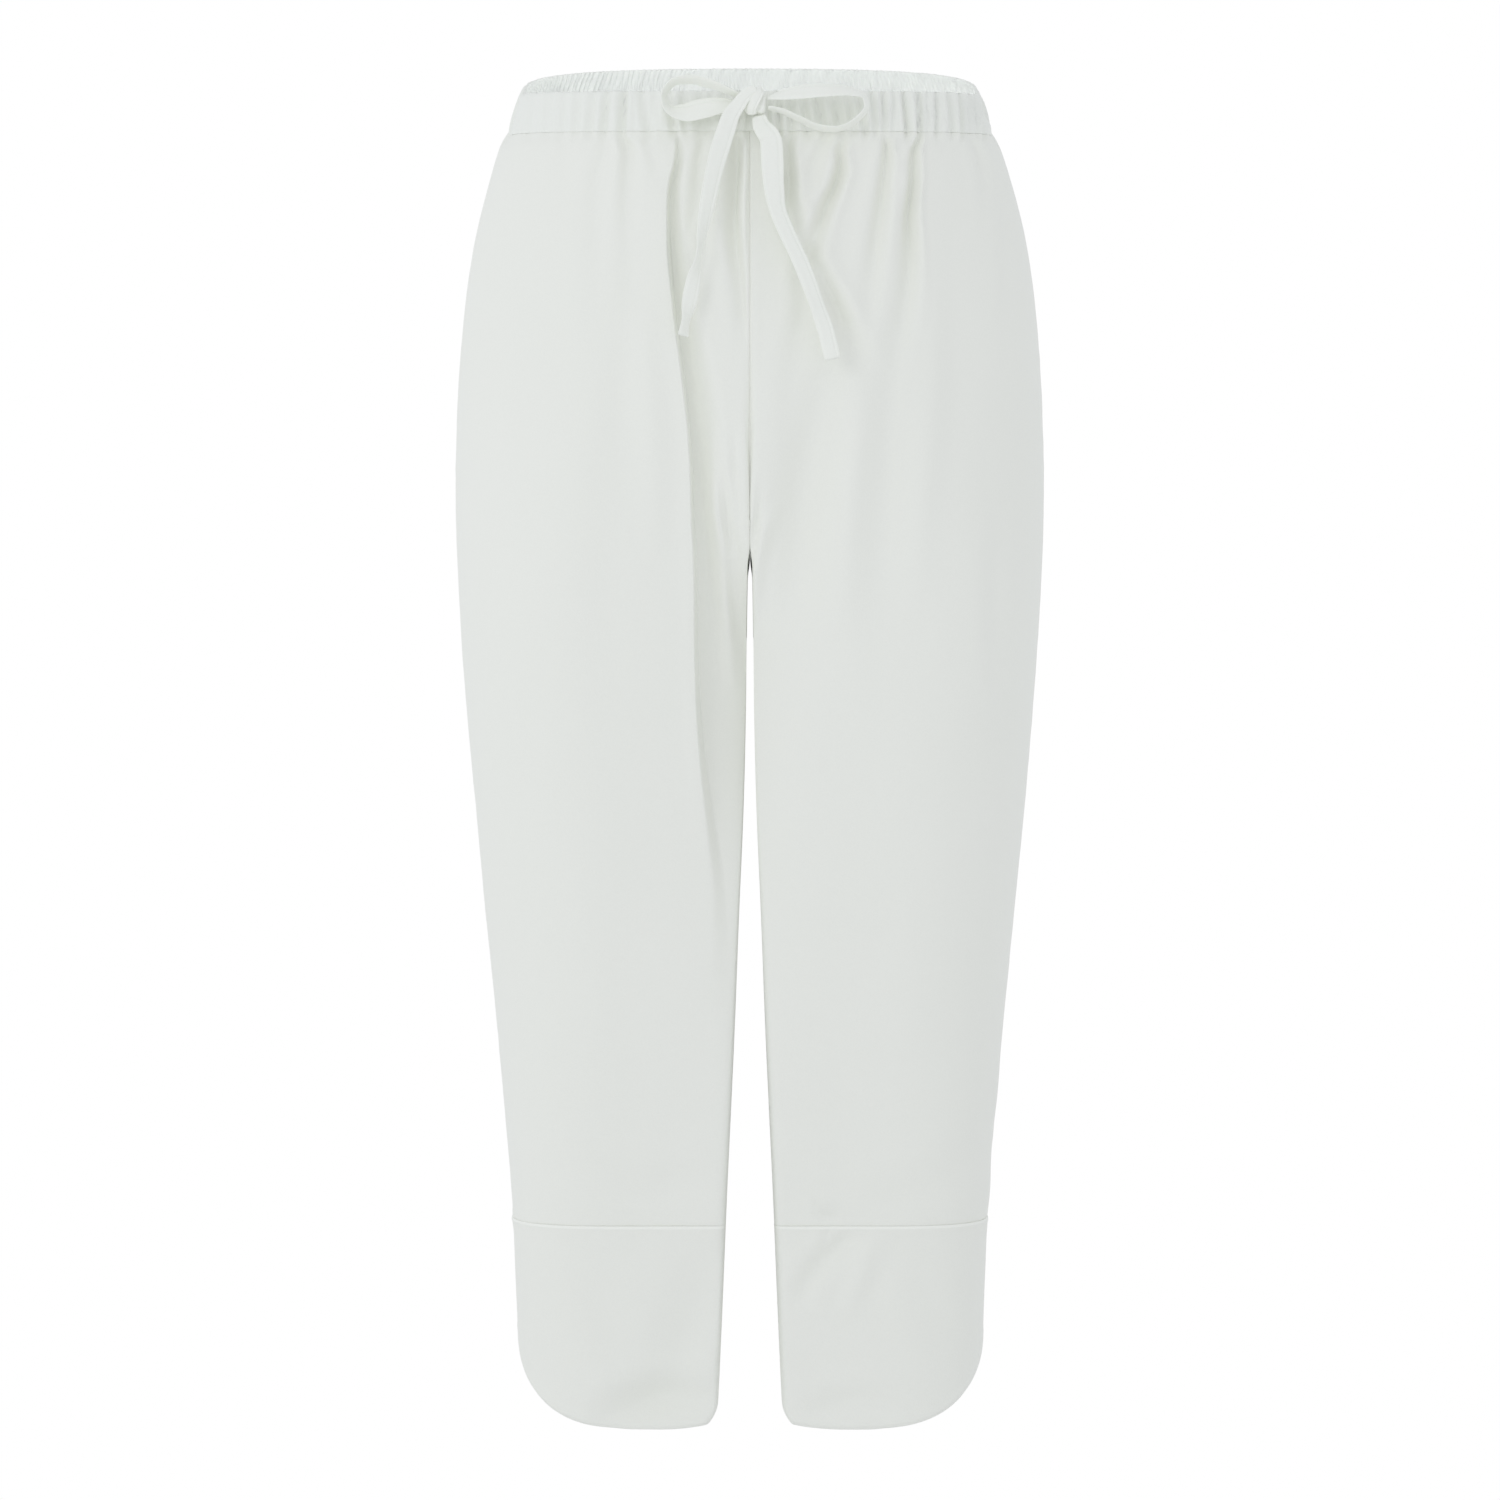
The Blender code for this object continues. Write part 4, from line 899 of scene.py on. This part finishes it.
def add_cuff(name, side, face, material, highlight_material):
    """Half of a deep cuff, from the cuff seam to the hem, with its rounded corner at the outseam."""
    mirror = np.array([side, 1, 1])
    u_fine = np.linspace(*((0, 0.5), (1, 0.5))[face], RING_SAMPLES)
    ring = body_section(u_fine, CUFF_SEAM)
    length = path_length(ring)
    edge = np.array(EDGE_STEPS)
    on_face = ease(1, 3, ring[:, 0] - size_at("inner", CUFF_SEAM))
    dense = CUFF_SIDE_DENSITY + (1 - CUFF_SIDE_DENSITY) * on_face
    weight = np.concatenate([[0], np.cumsum((dense[1:] + dense[:-1]) / 2 * np.diff(length))])
    ends = np.interp([CUFF_CLEAR, length[-1] - CUFF_CLEAR], length, weight)
    middle = np.interp(np.linspace(*ends, CUFF_COLUMNS), weight, length)
    marks = np.concatenate([SEAM_GAP / 2 + edge, middle, length[-1] - SEAM_GAP / 2 - edge[::-1]])
    u = np.interp(marks, length, u_fine)
    off = np.interp(marks, length, ring[:, 0]) - size_at("inner", CUFF_SEAM)
    foot = HEM + hem_height(u) + HEM_LIFT * np.clip(1 - off / HEM_LIFT_REACH, 0, 1) ** 2
    drop = CUFF_SEAM - SEAM_GAP / 2 - foot
    rows = np.linspace(CUFF_CLEAR, drop.max() - CUFF_CLEAR, CUFF_ROWS)
    down = np.concatenate([edge, rows, drop.max() - edge[::-1]])
    down = down[:, None] / drop.max()
    levels = CUFF_SEAM - SEAM_GAP / 2 - drop[None, :] * down
    grid = body_section(np.broadcast_to(u, levels.shape), levels)
    grid[..., 2] = levels
    out = flat_normals(grid) * (1, -1)[face]
    out[:, -1] = (1, 0)
    out[:, 0] = (-1, 0)
    outward = np.concatenate([out, np.zeros(out.shape[:-1] + (1,))], axis=-1)
    out[..., 0] *= ease(*INNER_CALM, grid[..., 0] - size_at("inner", levels))
    px, py = seen(grid * mirror, face)
    from_start = np.broadcast_to(marks, px.shape)
    from_end = length[-1] - from_start
    top_distance = CUFF_SEAM - levels
    low_distance = levels - foot
    strokes = CUFF_STROKES[side] if face == 0 else CUFF_STROKES[-side]
    view_x = px if face == 0 else 2 * VIEW_CENTRE - px
    moved = stroke_folds(view_x, py, strokes) + CUFF_NOISE * cloth_noise(px, py, 71 + side + 3 * face)
    at_top = CUFF_TOP_SHARE + (1 - CUFF_TOP_SHARE) * ease(0, CUFF_TOP_CALM, top_distance)
    moved = moved * ease(0, END_CALM, from_start) * ease(0, END_CALM, from_end) * at_top
    moved = moved + seam_puckers(top_distance, marks, 80 + side + 3 * face)
    moved = moved + CUFF_WELT * np.exp(-(((top_distance - WELT_PLACE) / WELT_BREADTH) ** 2))
    moved = moved + CUFF_LAP * (1 - ease(*LAP_FADES, top_distance))
    moved = moved + edge_roll(from_start) + edge_roll(from_end)
    moved = moved + CUFF_SEAM_ROLL[1] * edge_roll(top_distance) + HEM_ROLL * edge_roll(low_distance)
    grid[..., :2] += out * moved[..., None]
    inner_edge = np.clip(1 - (grid[..., 0] - size_at("inner", levels)) / HEM_ROUNDING_WIDTH, 0, 1)
    grid[..., 0] += HEM_ROUNDING * np.clip(1 - low_distance / HEM_ROUNDING_HEIGHT, 0, 1) ** 2 * inner_edge
    grid = turned_in(grid, outward)
    made = add_shell(name, grid * mirror, material, (side == 1) == (face == 0), CUFF_THICKNESS)
    # the top edge at the seam takes the paler material: a painted highlight along the raised seam line
    made.data.materials.append(highlight_material)
    for polygon in made.data.polygons:
        polygon.material_index = int(polygon.center[2] > (CUFF_SEAM - SEAM_HIGHLIGHT_HEIGHT) * MM)
    return made


def ruche(share, seed):
    """Fine gathers along a strip: 1 on each rounded ridge, 0 in each sharp valley. share is in pitches."""
    count = int(np.max(share)) + 3
    steps = np.random.default_rng(seed).uniform(*RUCHE_STEPS, count)
    edges = np.concatenate([[0], np.cumsum(steps)])
    heights = np.random.default_rng(seed + 1).uniform(*RUCHE_HEIGHTS, count)
    k = np.clip(np.searchsorted(edges, share, side="right") - 1, 0, count - 1)
    t = (share - edges[k]) / steps[k]
    return heights[k] * np.sin(np.pi * np.clip(t, 0, 1)) ** RUCHE_POWER


def band_relief(px, up):
    """How far the band's front stands out, by its gathers; up is 0 at its seam and 1 at its top."""
    slant = 0.5 * soft_noise(px / 50, 2.7 * up, 5)
    along = np.maximum(px - FRONT_RUCHE_FROM, 0) / (RUCHE_PITCH / PIXEL)
    fine = ruche(along + slant + 1, 3) * RUCHE_HEIGHT
    moved = 0.3 * soft_noise(px / 11, 1.7 * up, 9) + fine * (0.3 + 0.7 * ease(*FRONT_RUCHE_GROWS, px)) - 0.3
    for top_x, seam_x, deep, breadth in BAND_GATHERS:
        off = (px - (seam_x + (top_x - seam_x) * up)) / breadth
        moved = moved + GATHER_DEPTH * deep * fold_profile(off)
    return moved * (0.8 + 0.2 * np.sin(np.pi * up))


def add_band(name, face, material):
    """Half of the waistband, from one side seam round to the other: a closed, gathered casing."""
    reach = np.linspace(-0.5, 0.5, 2 * RING_SAMPLES + 1)
    u = np.abs(reach) if face == 0 else 1 - np.abs(reach)
    turn = torso_turn(u)
    ring_x = np.sign(reach) * np.abs(np.sin(turn)) ** (2 / TORSO_POWER)
    ring_y = -signed_power(np.cos(turn), 2 / TORSO_POWER)
    columns = BAND_COLUMNS[face]
    rings = []
    for inside in (False, True):
        for height, round_in in BAND_PROFILE[:: -1 if inside else 1]:
            up = height / BAND_HEIGHT
            half_width = BAND_SEAM_HALF_WIDTH + (BAND_TOP_HALF_WIDTH - BAND_SEAM_HALF_WIDTH) * up**BAND_TAPER
            depth = BAND_SEAM_DEPTH + (BAND_TOP_DEPTH - BAND_SEAM_DEPTH) * up**BAND_TAPER
            ring = np.stack([ring_x * half_width, ring_y * depth, waistline(u)], axis=-1)
            ring[:, 2] += WAIST_SEAM + WAIST_GAP + height
            length = path_length(ring)
            marks = np.linspace(SEAM_GAP / 2, length[-1] - SEAM_GAP / 2, columns)
            row = np.stack([np.interp(marks, length, ring[:, axis]) for axis in range(3)], axis=-1)
            out = flat_normals(row) * (1, -1)[face]
            share = marks / length[-1]
            slant = 0.5 * soft_noise(marks / 30, np.full(marks.shape, height / 9), 5 + face)
            fine = ruche(marks / RUCHE_PITCH + slant + 1, 3 + face) * RUCHE_HEIGHT
            px, _ = seen(row, face)
            if face == 0 and not inside:
                moved = band_relief(px, np.full(px.shape, up))
            else:
                moved = fine * (1.3 + 0.3 * np.sin(np.pi * up)) - 0.4
            ends = ease(0, BAND_END, share) * ease(0, BAND_END, 1 - share)
            moved = moved * ends - BAND_END_DEPTH * (1 - ends)
            moved = moved - round_in * BAND_ROUNDING[int(up > 0.5)]
            if inside:
                moved = -BAND_WALL - moved
            row[:, :2] += out * moved[:, None]
            row[:, 2] += 0.25 * fine * ease(0.6, 1, up)
            rings.append(row)
    grid = np.array(rings)
    rows = grid.shape[0]
    faces = grid_faces(rows, columns, face == 0, wrap=True)
    first, last = ([k * columns + end for k in range(rows)] for end in (0, columns - 1))
    faces += [first, last[::-1]] if face == 0 else [first[::-1], last]
    return mesh_object(name, grid.reshape(-1, 3), faces, material)


def route_points(route, steps):
    """The route's own columns, read from a smooth curve through them."""
    table = np.array(route, float)
    length = path_length(table[:, :3])
    marks = np.interp(np.arange((len(table) - 1) * steps + 1) / steps, np.arange(len(table)), length)
    return np.stack([through(length, table[:, k], marks) for k in range(table.shape[1])], axis=-1)


def tape_mesh(route, seed, wall=TAPE_WALL, steps=TAPE_STEPS):
    """Points and faces of a soft folded tape along its route, and its centre line."""
    points = route_points(route, steps)
    centre = points[:, :3]
    along = unit(np.gradient(centre, axis=0))
    depth = unit(np.array([0.0, 1.0, 0.0]) - along * along[:, 1:2])
    shown = np.cross(along, depth)
    lean = np.radians(points[:, 4])[:, None]
    across = depth * np.cos(lean) + shown * np.sin(lean)
    through_tape = np.cross(along, across)
    run = path_length(centre)
    width = points[:, 3] * (1 + TAPE_UNEVEN * soft_noise(run / 9, np.full(run.shape, 0.5), seed))
    turn = np.linspace(0, 2 * np.pi, TAPE_RING, endpoint=False)
    side = signed_power(np.cos(turn), TAPE_SHAPE[0])
    face = signed_power(np.sin(turn), TAPE_SHAPE[1])
    half = width[:, None] / 2
    a = side[None, :] * half
    flat = np.clip(1 - np.abs(side) ** 3, 0, 1)[None, :]
    waver = soft_noise(run[:, None] / 5 + 0 * a, a / 2.6 + 3, seed + 1)
    stitched = sum(np.exp(-(((a + at * width[:, None]) / breadth) ** 2)) for at, breadth in TAPE_STITCHES)
    sunk = np.sign(face)[None, :] * TAPE_STITCH_DEPTH * stitched * flat
    t = face[None, :] * wall / 2 - sunk + TAPE_WAVER * waver * flat
    rings = centre[:, None] + across[:, None] * a[..., None] + through_tape[:, None] * t[..., None]
    for k, share in zip((0, -1), TAPE_ENDS):
        rings[k] = centre[k] + (rings[k] - centre[k]) * share
    count, ring = rings.shape[:2]
    index = np.arange(count * ring).reshape(count, ring)
    nxt = np.roll(index, -1, axis=1)
    faces = np.stack([index[:-1], nxt[:-1], nxt[1:], index[1:]], axis=-1).reshape(-1, 4).tolist()
    faces += [index[0, ::-1].tolist(), index[-1].tolist()]
    return rings.reshape(-1, 3), faces, centre


def add_knot(name, material):
    """The bow's knot: a soft block, with the tape that wraps it in front."""
    made = bmesh.new()
    bmesh.ops.create_cube(made, size=2)
    bmesh.ops.subdivide_edges(made, edges=made.edges[:], cuts=KNOT_CUTS, use_grid_fill=True)
    places = np.array([vert.co[:] for vert in made.verts])
    places /= (np.abs(places) ** 4).sum(axis=1, keepdims=True) ** 0.25
    dents = soft_noise(places[:, 0] * 1.6 + 5, places[:, 2] * 1.6 + 5 + places[:, 1], 91)
    places *= 1 + KNOT_DENT * dents[:, None]
    creases = np.exp(-(((places[:, 0] - 0.55 - 0.3 * places[:, 2]) / 0.16) ** 2))
    places *= 1 - KNOT_CREASE * creases[:, None]
    places = places * np.array(KNOT_HALF_SIZE) + np.array(KNOT_CENTRE)
    index = {vert: k for k, vert in enumerate(made.verts)}
    faces = [[index[vert] for vert in polygon.verts] for polygon in made.faces]
    made.free()
    wrap, wrap_faces, _ = tape_mesh(KNOT_WRAP, 95, KNOT_WRAP_WALL, KNOT_WRAP_STEPS)
    faces += [[k + len(places) for k in polygon] for polygon in wrap_faces]
    return mesh_object(name, np.concatenate([places, wrap]), faces, material)


def set_inputs(node, **values):
    """Sets a node's sockets by their names, written with underscores for blanks."""
    for name, value in values.items():
        node.inputs[name.replace("_", " ")].default_value = value
    return node


def crepe(name, colour, shade, grain=1.0):
    """Matte crepe: a pebbled weave, a faint slub, and slow changes of tone."""
    material = bpy.data.materials.new(name)
    material.use_nodes = True
    add, link = material.node_tree.nodes.new, material.node_tree.links.new
    shader = material.node_tree.nodes["Principled BSDF"]
    set_inputs(shader, Roughness=0.88, Specular_IOR_Level=0.25, Sheen_Weight=0.12, Sheen_Roughness=0.5)
    place = add("ShaderNodeTexCoord").outputs["Object"]
    slow = set_inputs(add("ShaderNodeTexNoise"), Scale=9.0, Detail=3.0)
    link(place, slow.inputs["Vector"])
    pebble = set_inputs(add("ShaderNodeTexNoise"), Scale=950.0, Detail=2.0, Roughness=0.6)
    link(place, pebble.inputs["Vector"])
    stretch = set_inputs(add("ShaderNodeMapping"), Scale=(1400.0, 1400.0, 380.0))
    link(place, stretch.inputs["Vector"])
    thread = set_inputs(add("ShaderNodeTexNoise"), Scale=1.0, Detail=1.0)
    link(stretch.outputs["Vector"], thread.inputs["Vector"])
    mixed = add("ShaderNodeMix")
    mixed.data_type = "RGBA"
    set_inputs(mixed, A=(*colour, 1.0), B=(*shade, 1.0))
    link(slow.outputs["Fac"], mixed.inputs["Factor"])
    fleck = set_inputs(add("ShaderNodeMapRange"), From_Min=0.3, From_Max=0.7, To_Min=0.99, To_Max=1.01)
    link(pebble.outputs["Fac"], fleck.inputs["Value"])
    tone = add("ShaderNodeVectorMath")
    tone.operation = "SCALE"
    link(mixed.outputs["Result"], tone.inputs[0])
    link(fleck.outputs["Result"], tone.inputs["Scale"])
    link(tone.outputs["Vector"], shader.inputs["Base Color"])
    both = add("ShaderNodeMath")
    both.operation = "MULTIPLY_ADD"
    both.inputs[1].default_value = 0.45
    link(thread.outputs["Fac"], both.inputs[0])
    link(pebble.outputs["Fac"], both.inputs[2])
    bump = set_inputs(add("ShaderNodeBump"), Strength=0.18 * grain, Distance=0.00016)
    link(both.outputs["Value"], bump.inputs["Height"])
    link(bump.outputs["Normal"], shader.inputs["Normal"])
    return material


def dress():
    """Makes every piece and hides the CAD solid that it stands for."""
    cloth = crepe("crepe_cloth", (0.89, 0.90, 0.835), (0.875, 0.89, 0.82))
    # the band's crepe is a touch bluer than the panels': a painted cool tint for the light on the shaded
    # band
    band = crepe("waistband_cloth_painted_cool", (0.885, 0.90, 0.84), (0.87, 0.89, 0.827))
    cuff = crepe("cuff_cloth", (0.89, 0.90, 0.835), (0.875, 0.89, 0.82))
    # a paler copy of the cuff's crepe: a painted highlight for the edge at the cuff seam
    cuff_highlight = crepe("cuff_seam_painted_highlight", (0.935, 0.945, 0.88), (0.925, 0.94, 0.87))
    # the drawstring is the panels' own crepe, painted paler as a lift of light on the tapes
    string = crepe("drawstring_cloth_painted_lighter", (0.925, 0.94, 0.872), (0.91, 0.93, 0.858), 0.8)
    for side, word in ((-1, "right"), (1, "left")):
        for face, place in ((0, "front"), (1, "back")):
            panel = add_panel(f"{place}_{word}_panel", side, face, cloth)
            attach(panel, "root")
            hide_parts(f"{place}_{word}")
            made = add_cuff(f"cuff_{place}_{word}_shell", side, face, cuff, cuff_highlight)
            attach(made, "root")
            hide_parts(f"cuff_{place}_{word}")
    for face, place in ((0, "front"), (1, "back")):
        made = add_band(f"waistband_{place}_casing", face, band)
        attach(made, "root")
        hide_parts(f"waistband_{place}")
    knot = add_knot("drawstring_knot_tape", string)
    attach(knot, "root")
    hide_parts("drawstring_knot")
    for number, (name, route) in enumerate(TAPE_ROUTES.items()):
        points, faces, centre = tape_mesh(route, 101 + 5 * number)
        tape = mesh_object(name + "_tape", points, faces, string)
        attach(tape, "root")
        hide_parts(name)


def add_world():
    """White surroundings: a plain backdrop for the camera, and light whose strength slopes a little."""
    world = bpy.data.worlds.new("studio")
    world.use_nodes = True
    bpy.context.scene.world = world
    add, link = world.node_tree.nodes.new, world.node_tree.links.new
    world.node_tree.nodes.clear()
    output = add("ShaderNodeOutputWorld")
    mixed = add("ShaderNodeMixShader")
    lighting = set_inputs(add("ShaderNodeBackground"), Color=(*WORLD_COLOUR, 1))
    backdrop = set_inputs(add("ShaderNodeBackground"), Color=(1, 1, 1, 1), Strength=1.0)
    path = add("ShaderNodeLightPath")
    place = add("ShaderNodeTexCoord")
    slope = add("ShaderNodeVectorMath")
    slope.operation = "DOT_PRODUCT"
    slope.inputs[1].default_value = WORLD_SLOPE
    level = add("ShaderNodeMath")
    level.operation = "ADD"
    level.inputs[1].default_value = WORLD_LEVEL
    link(place.outputs["Generated"], slope.inputs[0])
    link(slope.outputs["Value"], level.inputs[0])
    link(level.outputs["Value"], lighting.inputs["Strength"])
    link(path.outputs["Is Camera Ray"], mixed.inputs["Fac"])
    link(lighting.outputs["Background"], mixed.inputs[1])
    link(backdrop.outputs["Background"], mixed.inputs[2])
    link(mixed.outputs["Shader"], output.inputs["Surface"])


def add_lamp(name, place, target, size, power, colour):
    """A rectangular area light at a place, turned towards its target."""
    lamp = bpy.data.lights.new(name, "AREA")
    lamp.shape = "RECTANGLE"
    lamp.size, lamp.size_y = size
    lamp.energy = power
    lamp.color = colour
    made = bpy.data.objects.new(name, lamp)
    bpy.context.scene.collection.objects.link(made)
    made.location = place
    made.rotation_euler = (mathutils.Vector(target) - made.location).to_track_quat("-Z", "Y").to_euler()
    return made


def add_softbox():
    azimuth, height, distance, width, tall, power = SOFTBOX
    turn = math.radians(azimuth)
    place = (distance * math.sin(turn), -distance * math.cos(turn), height)
    add_lamp("softbox_near", place, LAMP_TARGET, (width, tall), power, LAMP_COLOUR)


def add_waist_fill():
    """Two faint cards of light inside the waist, unseen, for the inside of the back band."""
    for side in (-1, 1):
        place, target = ((side * x, y, z) for x, y, z in (WAIST_FILL_PLACE, WAIST_FILL_TARGET))
        made = add_lamp("waist_fill", place, target, WAIST_FILL_SIZE, WAIST_FILL_POWER, WAIST_FILL_COLOUR)
        made.visible_camera = False


def add_camera():
    scene = bpy.context.scene
    scene.view_settings.view_transform = "Standard"
    camera_data = bpy.data.cameras.new("camera")
    camera_data.sensor_width = CAMERA_SENSOR
    camera_data.lens = CAMERA_LENS
    camera_data.clip_end = 50.0
    camera = bpy.data.objects.new("camera", camera_data)
    scene.collection.objects.link(camera)
    camera.location = (0.0, -VIEW_DISTANCE * MM, VIEW_LEVEL * MM)
    camera.rotation_euler = (math.pi / 2, 0, 0)
    scene.camera = camera


def add_floor():
    """A plain pale floor, a little below the hems, where the wearer's feet would stand."""
    turn = np.linspace(0, 2 * np.pi, FLOOR_SIDES, endpoint=False)
    level = np.full(FLOOR_SIDES, FLOOR_LEVEL)
    rim = np.stack([FLOOR_RADIUS * np.cos(turn), FLOOR_RADIUS * np.sin(turn), level], axis=-1)
    material = bpy.data.materials.new("floor_paint")
    material.use_nodes = True
    shader = material.node_tree.nodes["Principled BSDF"]
    set_inputs(shader, Base_Color=(0.9, 0.9, 0.9, 1), Roughness=0.95, Specular_IOR_Level=0.0)
    set_inputs(shader, Emission_Color=(1, 1, 1, 1), Emission_Strength=FLOOR_GLOW)
    floor = mesh_object("floor", rim, [list(range(FLOOR_SIDES))], material)


add_world()
add_softbox()
add_waist_fill()
add_camera()
add_floor()
dress()
